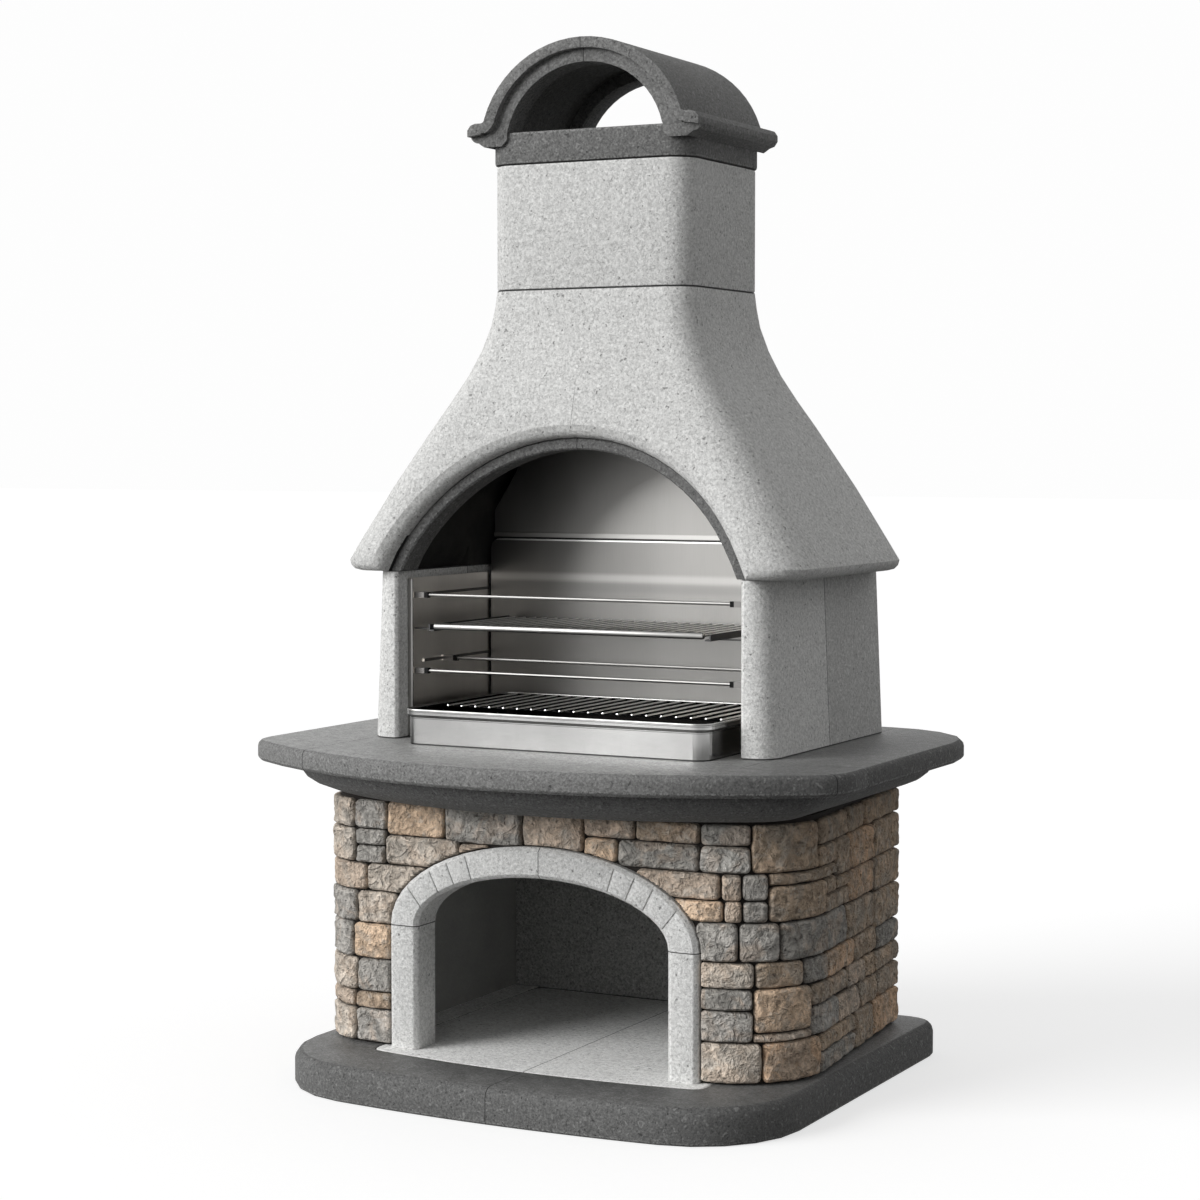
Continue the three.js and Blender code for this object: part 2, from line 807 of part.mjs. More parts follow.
// Firebox: front pillars and side walls that draw in towards the hood, and a rear wall between them
function addFireboxWalls() {
  const low = worktopTop + joint;
  const high = hoodBottom - joint;
  const pillarPlan = (outerHalf) => {
    const centre = new THREE.Vector2(outerHalf - pillarCorner, pillarCorner - pillarFrontReach);
    return [
      new THREE.Vector2(fireboxHalfWidth + pillarBevel, -pillarFrontReach),
      ...arcOf(centre, pillarCorner, pillarCorner, -Math.PI / 2, 0, cornerSteps),
      new THREE.Vector2(outerHalf, -joint / 2),
      new THREE.Vector2(fireboxHalfWidth, -joint / 2),
      new THREE.Vector2(fireboxHalfWidth, pillarBevel - pillarFrontReach),
    ];
  };
  const sidePlan = (outerHalf) => [
    new THREE.Vector2(fireboxHalfWidth, joint / 2),
    new THREE.Vector2(outerHalf, joint / 2),
    new THREE.Vector2(outerHalf, sideWallRearReach),
    new THREE.Vector2(fireboxHalfWidth, sideWallRearReach),
  ];
  const taper = (planAt) =>
    loft([
      planAt(pillarFootHalf).map((p) => at(p.x, p.y, low)),
      planAt(pillarHeadHalf).map((p) => at(p.x, p.y, high)),
    ]);
  const pillar = taper(pillarPlan);
  const side = taper(sidePlan);
  add("pillar_front_right", pillar, paleConcrete());
  add("pillar_front_left", mirrored(pillar), paleConcrete());
  add("side_wall_rear_right", side, paleConcrete());
  add("side_wall_rear_left", mirrored(side), paleConcrete());
  const rearWall = block(
    at(joint - fireboxHalfWidth, sideWallRearReach - rearWallThickness, low),
    at(fireboxHalfWidth - joint, sideWallRearReach, high),
  );
  add("firebox_rear_wall", rearWall, paleConcrete());
}

// Hood: a flared shell that narrows from its lip to the chimney, with an arched mouth in front
const mouthRadius = (hoodMouthHalf ** 2 + hoodMouthRise ** 2) / (2 * hoodMouthRise);
const mouthCentre = hoodBottom + hoodMouthRise - mouthRadius;
// Cuts along the mouth start a little below the hood's bottom, at this turn from the level.
const mouthFoot = Math.asin((hoodBottom - overrun - mouthCentre) / (mouthRadius + mouthEdge + overrun));

function mouthTurn(step) {
  return mouthFoot + ((Math.PI - 2 * mouthFoot) * step) / mouthSteps;
}

function hoodSizes([heightShare, sideFlare, frontFlare]) {
  const lipLevel = hoodBottom + hoodLipRadius;
  return {
    level: lipLevel + (chimneyBottom - joint - lipLevel) * heightShare,
    half: chimneyHalfWidth + (hoodLipHalf - chimneyHalfWidth) * sideFlare,
    front: chimneyFrontReach + (hoodLipFront - chimneyFrontReach) * frontFlare,
    rear: chimneyRearReach + (hoodLipRear - chimneyRearReach) * frontFlare,
    corner: chimneyCorner + (hoodLipCorner - chimneyCorner) * sideFlare,
  };
}

// The hood's front face at a level, as its distance in front of the chimney's centre line.
function hoodFrontAt(level) {
  const sizes = hoodFlareShares.map(hoodSizes);
  const above = Math.max(1, sizes.findIndex((size) => size.level > level));
  const [low, high] = [sizes[above - 1], sizes[above]];
  const share = (level - low.level) / (high.level - low.level);
  return low.front + (high.front - low.front) * share;
}

function addHood() {
  const planRing = ({ level, half, front, rear, corner }) =>
    roundedPlan(half, -front, rear, corner).map((p) => at(p.x, p.y, level));
  const lip = hoodSizes(hoodFlareShares[0]);
  const lipRings = Array.from({ length: lipSteps }, (_, i) => {
    const angle = (Math.PI / 2) * (i / lipSteps);
    const inset = hoodLipRadius * (1 - Math.sin(angle));
    return planRing({
      level: hoodBottom + hoodLipRadius * (1 - Math.cos(angle)),
      half: lip.half - inset,
      front: lip.front - inset,
      rear: lip.rear - inset,
      corner: lip.corner - inset,
    });
  });
  const outside = loft([...lipRings, ...hoodFlareShares.map((row) => planRing(hoodSizes(row)))]);

  const rearInside = sideWallRearReach - rearWallThickness;
  const insideRing = (sizes, level) =>
    planRing({
      level,
      half: Math.min(fireboxHalfWidth, sizes.half - hoodWall),
      front: sizes.front - hoodWall,
      rear: Math.min(rearInside, sizes.rear - hoodWall),
      corner: flueCorner,
    });
  const insideRows = hoodFlareShares.map(hoodSizes);
  const inside = loft([
    insideRing(insideRows[0], hoodBottom - overrun),
    ...insideRows.filter((_, i) => i % 2 === 0).slice(1).map((sizes) => insideRing(sizes, sizes.level)),
    insideRing(insideRows.at(-1), chimneyBottom + overrun),
  ]);

  const mouthOutline = arcOf(
    new THREE.Vector2(0, mouthCentre),
    mouthRadius,
    mouthRadius,
    mouthFoot,
    Math.PI - mouthFoot,
    mouthSteps,
  );
  const mouth = runBack(mouthOutline, -hoodLipFront - overrun, 0);
  add("hood", outside.subtract(inside).subtract(mouth).subtract(mouthEdgeCut()), paleConcrete());
}

// What the rounding of the mouth's front edge takes away. It follows the slope of the hood's front.
function mouthEdgeCut() {
  const inner = mouthRadius - overrun;
  const outer = mouthRadius + mouthEdge + overrun;
  const rounding = Array.from({ length: mouthEdgeSteps + 1 }, (_, i) => {
    const angle = (Math.PI / 2) * mouthEdgeTurnShare * (1 - i / mouthEdgeSteps);
    return [mouthRadius + mouthEdge * (1 - Math.cos(angle)), mouthEdge * (1 - Math.sin(angle))];
  });
  const section = [
    [inner, mouthEdge],
    [inner, 0],
    [inner, -overrun],
    [mouthRadius, -overrun],
    [outer, -overrun],
    ...rounding,
  ];
  const rings = Array.from({ length: mouthSteps + 1 }, (_, i) =>
    section.map(([radius, depth]) => {
      const level = mouthCentre + radius * Math.sin(mouthTurn(i));
      return at(radius * Math.cos(mouthTurn(i)), depth - hoodFrontAt(level), level);
    }),
  );
  return loft(rings);
}

// The dark arch in the mouth follows the slope of the hood's front.
function addHoodTrim() {
  const outerRadius = mouthRadius - joint;
  const innerRadius = mouthRadius - trimThickness;
  const section = [
    [innerRadius + trimBevel, 0],
    [outerRadius - trimBevel, 0],
    [outerRadius, trimBevel],
    [outerRadius, trimDepth],
    [innerRadius, trimDepth],
    [innerRadius, trimBevel],
  ];
  const rings = Array.from({ length: mouthSteps + 1 }, (_, i) => {
    const turn = mouthTurn(i);
    const level = mouthCentre + innerRadius * Math.sin(turn);
    const front = trimSetback - hoodFrontAt(level);
    return section.map(([radius, y]) =>
      at(radius * Math.cos(turn), front + y, mouthCentre + radius * Math.sin(turn)),
    );
  });
  const ground = block(at(-far, -far, hoodBottom), at(far, far, chimneyBottom));
  const half = loft(rings).intersect(ground).intersect(rightOf(joint / 2));
  add("hood_arch_trim_right", half, darkConcrete());
  add("hood_arch_trim_left", mirrored(half), darkConcrete());
}

// Chimney section and collar: rounded tubes around the flue
function flueTube(low, high, proud) {
  const planAt = (inset) =>
    roundedPlan(
      chimneyHalfWidth + proud - inset,
      inset - chimneyFrontReach - proud,
      chimneyRearReach + proud - inset,
      chimneyCorner - inset,
    );
  const flue = roundedPlan(flueHalfWidth, -flueHalfDepth, flueHalfDepth, flueCorner);
  const rings = [
    [chimneyEdge, low],
    [0, low + chimneyEdge],
    [0, high - chimneyEdge],
    [chimneyEdge, high],
  ];
  const outside = loft(rings.map(([inset, level]) => planAt(inset).map((p) => at(p.x, p.y, level))));
  return outside.subtract(runUp(flue, low - overrun, high + overrun));
}

function addChimney() {
  add("chimney_section", flueTube(chimneyBottom, collarBottom - joint, 0), paleConcrete());
  add("chimney_collar", flueTube(collarBottom, collarTop - joint, collarProud), darkConcrete());
}

// Cap: a vaulted shell with flared eaves, and a ring in two halves inside each of its open ends. The front
// ring's feet stand before the collar and carry the shell's eaves.
function addCap() {
  const centre = new THREE.Vector2(0, collarTop + capRise - vaultRise);
  const spread = (half, rise, level) => half * Math.sqrt(1 - ((level - centre.y) / rise) ** 2);
  const arch = (half, rise, level, turns) => {
    const foot = Math.asin((level - centre.y) / rise);
    return arcOf(centre, half, rise, foot, Math.PI - foot, turns);
  };
  const eavesLevel = collarTop + eavesTop;
  const eavesFoot = collarTop - eavesDrop;
  const saddle = chimneyHalfWidth + collarProud + joint;
  const tipRadius = (eavesTop + eavesDrop - eavesTipLift) / 2;
  const tip = new THREE.Vector2(eavesHalfWidth - tipRadius, eavesLevel - tipRadius);
  const filletLevel = eavesLevel + eavesFillet;
  const filletX = spread(vaultHalf, vaultRise, filletLevel) + eavesFillet;
  const filletCentre = new THREE.Vector2(filletX, filletLevel);
  const rightHalf = [
    new THREE.Vector2(saddle, collarTop),
    new THREE.Vector2(saddle, eavesFoot),
    ...arcOf(tip, tipRadius, tipRadius, -Math.PI / 2, Math.PI / 2, cornerSteps),
    ...arcOf(filletCentre, eavesFillet, eavesFillet, -Math.PI / 2, -Math.PI, edgeSteps),
  ];
  const vault = arch(vaultHalf, vaultRise, filletLevel, capSteps).slice(1, -1);
  const leftHalf = rightHalf.map((p) => new THREE.Vector2(-p.x, p.y)).reverse();
  const soffit = arch(soffitHalf, soffitRise, collarTop, capSteps).reverse();
  const whole = runBack([...rightHalf, ...vault, ...leftHalf, ...soffit], -capFrontReach, capRearReach);

  const soffitFoot = spread(soffitHalf, soffitRise, eavesLevel);
  const footJoint = footJointShares.map(
    ([outShare, levelShare]) =>
      new THREE.Vector2(
        soffitFoot + (eavesHalfWidth - soffitFoot) * outShare,
        collarTop + eavesTop * levelShare,
      ),
  );
  const below = [
    ...footJoint,
    new THREE.Vector2(footJoint.at(-1).x, eavesFoot - overrun),
    new THREE.Vector2(ringFootHalf, eavesFoot - overrun),
    new THREE.Vector2(ringFootHalf, eavesLevel),
  ];
  const footRear = -chimneyFrontReach - collarProud - joint;
  const footRoom = runBack(below, -capFrontReach - overrun, footRear + joint);
  add("cap_shell", whole.subtract(footRoom).subtract(mirrored(footRoom)), darkConcrete());

  const ring = [
    ...arch(soffitHalf - joint, soffitRise - joint, collarTop, capSteps),
    ...arch(capRingHalf, capRingRise, collarTop, capSteps).reverse(),
  ];
  const frontEnd = capRingSetback - capFrontReach;
  const frontRing = runBack(ring, frontEnd, frontEnd + capRingDepth);
  const foot = [
    new THREE.Vector2(ringFootHalf, eavesLevel - joint),
    new THREE.Vector2(ringFootHalf, eavesFoot + ringFootBevel),
    new THREE.Vector2(ringFootHalf + ringFootBevel, eavesFoot),
    new THREE.Vector2(saddle, eavesFoot),
    ...arcOf(tip, tipRadius, tipRadius, -Math.PI / 2, 0, cornerSteps),
    new THREE.Vector2(tip.x, eavesLevel),
  ];
  const footCut = runBack(
    below.map((p) => new THREE.Vector2(p.x - joint, p.y - joint)),
    -capFrontReach,
    footRear,
  );
  const ringFoot = runBack(foot, frontEnd, footRear).intersect(footCut);
  const frontHalf = frontRing.intersect(rightOf(joint / 2)).add(ringFoot);
  add("cap_ring_front_right", frontHalf, darkConcrete());
  add("cap_ring_front_left", mirrored(frontHalf), darkConcrete());
  const rearEnd = capRearReach - capRingSetback;
  const rearHalf = runBack(ring, rearEnd - capRingDepth, rearEnd).intersect(rightOf(joint / 2));
  add("cap_ring_rear_right", rearHalf, darkConcrete());
  add("cap_ring_rear_left", mirrored(rearHalf), darkConcrete());
}

// Steel lining: two folded side panels with rod sockets, a lower back and an upper back
const linerInner = linerHalf - sheet;
const upperRod = worktopTop + upperRodLevel;
const lowerRod = worktopTop + lowerRodLevel;
const lowerRearRod = worktopTop + lowerRearRodLevel;
const rodPlaces = [
  { name: "rod_upper", y: -frontRodReach, z: upperRod },
  { name: "rod_lower_front", y: -frontRodReach, z: lowerRod },
  { name: "rod_lower_rear", y: -rearRodReach, z: lowerRearRod },
];

function addLining() {
  const low = worktopTop + joint;
  const panel = block(
    at(linerInner, -linerFront, low),
    at(linerHalf, backReach - joint, low + linerHeight),
  );
  const foldOuter = linerHalf + linerFold;
  const fold = block(at(linerInner, -linerFront, low), at(foldOuter, sheet - linerFront, low + linerHeight));
  const rails = [upperRod, lowerRearRod].map((level) =>
    block(
      at(linerInner - linerRailProud, -linerRailFront, level - linerRailHeight / 2),
      at(linerInner + sheet / 2, backReach - linerFold, level + linerRailHeight / 2),
    ),
  );
  const sockets = rodPlaces.map(({ y, z }) =>
    block(
      at(linerInner - socketLength, y - socketHalf, z - socketHalf),
      at(linerInner + sheet / 2, y + socketHalf, z + socketHalf),
    ),
  );
  const solid = rodPlaces.reduce(
    (whole, { y, z }) => {
      const mouth = linerInner - socketLength;
      const bore = bar(
        at(mouth - overrun, y, z),
        at(mouth + socketBore, y, z),
        rodRadius + boreClearance,
        rodSides,
      );
      return whole.subtract(bore);
    },
    joined([panel, fold, ...rails, ...sockets]),
  );
  add("liner_right", solid, brushedSteel());
  add("liner_left", mirrored(solid), brushedSteel());

  const backTop = low + backHeight;
  const cornerOf = (side) => new THREE.Vector2(side * (backHalf - backCorner), backTop - backCorner);
  const backOutline = [
    new THREE.Vector2(-backHalf, low),
    new THREE.Vector2(backHalf, low),
    ...arcOf(cornerOf(1), backCorner, backCorner, 0, Math.PI / 2, cornerSteps),
    ...arcOf(cornerOf(-1), backCorner, backCorner, Math.PI / 2, Math.PI, cornerSteps),
  ];
  const flangeHalf = backHalf - backCorner;
  const flange = block(
    at(-flangeHalf, backReach, backTop - sheet),
    at(flangeHalf, backReach + backFlange, backTop),
  );
  add("liner_back_lower", runBack(backOutline, backReach, backReach + sheet).add(flange), brushedSteel());

  const upperLow = backTop + joint;
  const upperFront = backReach + upperBackSetback;
  const outline = [
    [backHalf, upperLow],
    [backHalf, upperLow + upperBackShoulder],
    [upperBackTopHalf, upperLow + upperBackHeight],
  ].map(([x, z]) => new THREE.Vector2(x, z));
  const leftSide = outline.map((p) => new THREE.Vector2(-p.x, p.y)).reverse();
  const hem = block(
    at(-backHalf, upperFront + sheet - hemThickness, upperLow),
    at(backHalf, upperFront + sheet, upperLow + hemHeight),
  );
  const upper = runBack([...outline, ...leftSide], upperFront, upperFront + sheet).add(hem);
  add("liner_back_upper", upper, brushedSteel());
}

function addRods() {
  const end = linerInner - socketLength + socketBore - joint;
  rodPlaces.forEach(({ name, y, z }) => {
    add(name, bar(at(-end, y, z), at(end, y, z), rodRadius, rodSides), brightSteel());
  });
}

// Cooking grate on its two runners
function addCookingGrate() {
  const low = worktopTop + runnerLevel;
  const high = low + runnerHeight;
  const shelf = block(
    at(runnerInnerHalf, -runnerFront, low),
    at(runnerOuterHalf, runnerRear, low + runnerSheet),
  );
  const guide = block(
    at(runnerOuterHalf - runnerSheet, -runnerFront, low),
    at(runnerOuterHalf, runnerRear, high),
  );
  const arms = [-armFront, armRear].map((y) =>
    block(
      at(runnerOuterHalf - runnerSheet, y - armWidth / 2, low),
      at(linerInner - joint, y + armWidth / 2, low + runnerSheet),
    ),
  );
  const runner = joined([shelf, guide, ...arms]);
  add("grate_runner_right", runner, blackSteel());
  add("grate_runner_left", mirrored(runner), blackSteel());

  const wireLevel = low + runnerSheet + joint + grateWireRadius;
  const wireHalf = runnerOuterHalf - runnerSheet - grateSideClearance;
  const barLevel = wireLevel + grateWireRadius + grateBarRadius - barBite;
  const handleY = -runnerFront;
  const wires = [handleY / 2, grateRear - grateWireRadius].map((y) =>
    block(
      at(-wireHalf, y - grateWireRadius, wireLevel - grateWireRadius),
      at(wireHalf, y + grateWireRadius, wireLevel + grateWireRadius),
    ),
  );
  const bars = Array.from({ length: grateBars }, (_, i) => {
    const x = (wireHalf - grateBarInset) * ((2 * i) / (grateBars - 1) - 1);
    return bar(at(x, handleY, barLevel), at(x, grateRear, barLevel), grateBarRadius, barSides);
  });
  const handle = bar(
    at(-grateHandleHalf, handleY, barLevel),
    at(grateHandleHalf, handleY, barLevel),
    grateHandleRadius,
    rodSides,
  );
  add("cooking_grate", joined([handle, ...wires, ...bars]), brightSteel());
}

// Charcoal tray, a folded box with a stepped rim, and the fire grate that rests on the step
function addCharcoalTray() {
  const low = worktopTop + joint;
  const high = low + trayHeight;
  const step = high - trayRim;
  const planAt = (inset) =>
    roundedPlan(trayHalf - inset, inset - trayFront, trayRear - inset, trayCorner - inset);
  const ring = (inset, level) => planAt(inset).map((p) => at(p.x + trayOffset, p.y, level));
  const outside = loft([ring(trayStep, low), ring(trayStep, step - trayStep), ring(0, step), ring(0, high)]);
  const inside = loft([
    ring(trayStep + trayWall, low + trayWall),
    ring(trayStep + trayWall, step),
    ring(trayWall, step + weld),
    ring(trayWall, high + overrun),
  ]);
  add("charcoal_tray", outside.subtract(inside), brushedSteel());

  const wireLevel = step + weld + joint + fireWireRadius;
  const barLevel = wireLevel + fireWireRadius + fireBarRadius - barBite;
  const wireHalf = trayHalf - trayWall - fireEndClearance;
  const rear = trayRear - trayWall - fireEndClearance;
  const wires = [fireWireInset - fireFront, rear - fireWireInset].map((y) =>
    block(
      at(trayOffset - wireHalf, y - fireWireRadius, wireLevel - fireWireRadius),
      at(trayOffset + wireHalf, y + fireWireRadius, wireLevel + fireWireRadius),
    ),
  );
  const bars = Array.from({ length: fireBars }, (_, i) => {
    const x = trayOffset + (wireHalf - fireBarInset) * ((2 * i) / (fireBars - 1) - 1);
    return bar(at(x, -fireFront, barLevel), at(x, rear, barLevel), fireBarRadius, barSides);
  });
  add("fire_grate", joined([...wires, ...bars]), brightSteel());
}

addBaseSlab();
addStoreFloor();
addStoreWalls();
addStoreArch();
addWorktop();
addFireboxWalls();
addHood();
addHoodTrim();
addChimney();
addCap();
addLining();
addRods();
addCookingGrate();
addCharcoalTray();

const root = new THREE.Group();
inner.position.y = (worktopFrontReach - worktopRearReach) / 2;
root.add(inner);

export default root;
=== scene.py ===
import json
import math

import bmesh
import bpy
from mathutils import Matrix, Vector, noise
from mathutils.bvhtree import BVHTree

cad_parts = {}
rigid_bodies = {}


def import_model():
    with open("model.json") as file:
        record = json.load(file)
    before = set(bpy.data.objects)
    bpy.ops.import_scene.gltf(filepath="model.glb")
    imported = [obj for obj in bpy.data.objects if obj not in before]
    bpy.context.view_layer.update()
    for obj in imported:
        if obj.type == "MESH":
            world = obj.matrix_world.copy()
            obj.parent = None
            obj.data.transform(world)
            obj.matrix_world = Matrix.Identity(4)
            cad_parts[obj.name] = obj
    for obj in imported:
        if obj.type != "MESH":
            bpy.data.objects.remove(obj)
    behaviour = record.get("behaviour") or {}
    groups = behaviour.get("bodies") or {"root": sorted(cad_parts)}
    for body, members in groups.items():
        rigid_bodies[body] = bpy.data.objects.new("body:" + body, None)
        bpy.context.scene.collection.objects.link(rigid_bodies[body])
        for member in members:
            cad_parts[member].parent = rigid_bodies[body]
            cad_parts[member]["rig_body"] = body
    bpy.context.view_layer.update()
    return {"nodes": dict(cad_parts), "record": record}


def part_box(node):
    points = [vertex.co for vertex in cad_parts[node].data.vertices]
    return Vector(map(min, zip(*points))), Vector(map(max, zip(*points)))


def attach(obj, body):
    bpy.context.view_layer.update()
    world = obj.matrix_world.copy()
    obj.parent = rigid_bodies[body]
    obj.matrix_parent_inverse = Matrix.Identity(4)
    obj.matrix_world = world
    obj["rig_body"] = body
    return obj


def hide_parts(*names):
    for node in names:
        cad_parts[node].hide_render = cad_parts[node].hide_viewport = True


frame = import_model()
nodes = frame["nodes"]
slots = {row["node"]: row["material_slot"] for row in frame["record"]["subparts"]}

# Millimetres are written as numbers of this unit, because the scene is in metres.
MM = 0.001

# Noise vectors follow this seed, so that the stones are the same in every run.
NOISE_SEED = 7
noise.seed_set(NOISE_SEED)


def best_start(table, node):
    """The longest key of a table that a node's name starts with, or None."""
    return max((start for start in table if node.startswith(start)), key=len, default=None)


# Camera: where the photograph was taken from
CAMERA_PLACE = Vector((2612.6, -4984.4, 1343.95)) * MM
CAMERA_TURN = math.radians(27.71)
CAMERA_DIP = math.radians(3.33)
CAMERA_LENS = 79.61
CAMERA_SENSOR = 36


def add_camera():
    camera = bpy.data.objects.new("camera", bpy.data.cameras.new("camera"))
    camera.data.lens = CAMERA_LENS
    camera.data.sensor_width = CAMERA_SENSOR
    camera.location = CAMERA_PLACE
    camera.rotation_euler = (math.pi / 2 - CAMERA_DIP, 0, CAMERA_TURN)
    bpy.context.scene.collection.objects.link(camera)
    bpy.context.scene.camera = camera


# Materials. A dark joint line fades out over this much on each side
SEAM_FADE = 0.7 * MM


class Wire:
    """A shader socket that arithmetic works on."""

    def __init__(self, shader, socket):
        self.shader = shader
        self.socket = socket

    def math(self, operation, *others):
        values = dict(enumerate([self, *others]))
        return self.shader.node("ShaderNodeMath", {"operation": operation}, values)

    def __add__(self, other):
        return self.math("ADD", other)

    def __radd__(self, other):
        return self.math("ADD", other)

    def __sub__(self, other):
        return self.math("SUBTRACT", other)

    def __rsub__(self, other):
        return self.math("MULTIPLY_ADD", -1, other)

    def __mul__(self, other):
        return self.math("MULTIPLY", other)

    def __rmul__(self, other):
        return self.math("MULTIPLY", other)

    def __pow__(self, other):
        return self.math("POWER", other)

    def size(self):
        return self.math("ABSOLUTE")

    def at_least(self, other):
        return self.math("MAXIMUM", other)

    def at_most(self, other):
        return self.math("MINIMUM", other)

    def between(self, low, high):
        """0 below low, 1 above high, and a smooth rise between them."""
        sockets = {"Value": self, "From Min": low, "From Max": high}
        return self.shader.node("ShaderNodeMapRange", {"interpolation_type": "SMOOTHSTEP"}, sockets)

    def near(self, place, half, soft):
        """1 within half of a place, and 0 further off than half and soft together."""
        return 1 - (self - place).size().between(half, half + soft)


class Shader:
    """A node tree that is written one node at a time."""

    def __init__(self, tree):
        self.tree = tree

    def node(self, kind, settings=None, sockets=None, output=0):
        made = self.tree.nodes.new(kind)
        for key, value in (settings or {}).items():
            setattr(made, key, value)
        for key, value in (sockets or {}).items():
            self.feed(made.inputs[key], value)
        return Wire(self, made.outputs[output])

    def feed(self, socket, value):
        if isinstance(value, Wire):
            self.tree.links.new(value.socket, socket)
        elif isinstance(value, tuple) and len(value) == 3 and socket.type == "RGBA":
            socket.default_value = (*value, 1)
        else:
            socket.default_value = value

    def mix(self, share, first, second, blend="MIX"):
        settings = {"data_type": "RGBA", "blend_type": blend}
        return self.node("ShaderNodeMix", settings, {0: share, 6: first, 7: second}, 2)

    def shown(self):
        """1 for a ray from the camera, also where it was mirrored or went through something."""
        rays = ("Is Camera Ray", "Is Glossy Ray", "Is Transmission Ray")
        camera, glossy, through = (self.node("ShaderNodeLightPath", output=ray) for ray in rays)
        return camera + glossy + through


class Finish(Shader):
    """A material, read in the place of the whole object."""

    def __init__(self, name):
        self.material = bpy.data.materials.new(name)
        self.material.use_nodes = True
        super().__init__(self.material.node_tree)
        self.surface = self.tree.nodes["Principled BSDF"]
        self.place = self.node("ShaderNodeTexCoord", output="Object")
        self.axes = {}

    def set(self, **sockets):
        """Feeds sockets of the surface by name, with _ for a space."""
        for key, value in sockets.items():
            self.feed(self.surface.inputs[key.replace("_", " ")], value)

    def noise(self, grain, detail=2, rough=0.5, warp=0, stretch=(1, 1, 1), shift=(0, 0, 0)):
        """Noise around one half, whose blotches are about half a grain across."""
        turned = {"Vector": self.place, "Scale": stretch, "Location": shift}
        sockets = {
            "Vector": self.node("ShaderNodeMapping", {}, turned),
            "Scale": 1 / grain,
            "Detail": detail,
            "Roughness": rough,
            "Distortion": warp,
        }
        return self.node("ShaderNodeTexNoise", {}, sockets)

    def attribute(self, name, output="Fac"):
        return self.node("ShaderNodeAttribute", {"attribute_name": name}, output=output)

    def axis(self, name):
        if name not in self.axes:
            self.axes[name] = self.node("ShaderNodeSeparateXYZ", {}, {"Vector": self.place}, name)
        return self.axes[name]

    def tinted(self, color, shade):
        grey = self.node("ShaderNodeCombineColor", {}, {0: shade, 1: shade, 2: shade})
        return self.mix(1.0, color, grey, "MULTIPLY")

    def bump(self, height, depth):
        """A bump of that depth in metres where height goes from 0 to 1."""
        sockets = {"Height": height, "Distance": depth, "Strength": 1}
        return self.node("ShaderNodeBump", {}, sockets)

    def seam(self, axis, place, half, *within):
        """A thin line where two castings meet, in millimetres, kept between levels of other axes."""
        line = self.axis(axis).near(place * MM, half * MM, SEAM_FADE)
        for other, low, high, fade in within:
            level = self.axis(other)
            line = line * level.between(low * MM, (low + fade) * MM)
            line = line * (1 - level.between((high - fade) * MM, high * MM))
        return line


# Finishes
NEAR_BLACK = (0.012, 0.012, 0.012)
BRIGHTEST = 0.9


def grey(tone):
    """A grey that leans a little to the warm side."""
    return (tone, tone, tone * 0.982)


def scaled(color, factor):
    """A colour made darker or lighter, no brighter than plaster."""
    return tuple(min(channel * factor, BRIGHTEST) for channel in color)


# Cast concrete: the tone of its speckle and how strong that is, how deep its relief is, and the grain of its
# sand and how strongly the sand varies the tone, lighter where the sand stands higher, partly as painted
# shading of the relief
PALE_MIX = {"speckle": grey(0.88), "fleck": 0.42, "relief": 1.3 * MM, "sand": 6 * MM, "contrast": 1.2}
DARK_MIX = {"speckle": grey(0.42), "fleck": 0.3, "relief": 1.6 * MM, "sand": 4.8 * MM, "contrast": 2.3}
CLOUD_GRAIN = 190 * MM
THREAD_GRAIN = 7 * MM
PATCH_GRAIN = 8 * MM
GRIT_GRAIN = 9 * MM
MOTTLE_GRAIN = 26 * MM
# Castings that reach far to the right get painted shade there, darker from the first of these places to the
# second
PAINTED_SHADE_REACH = (250 * MM, 620 * MM)


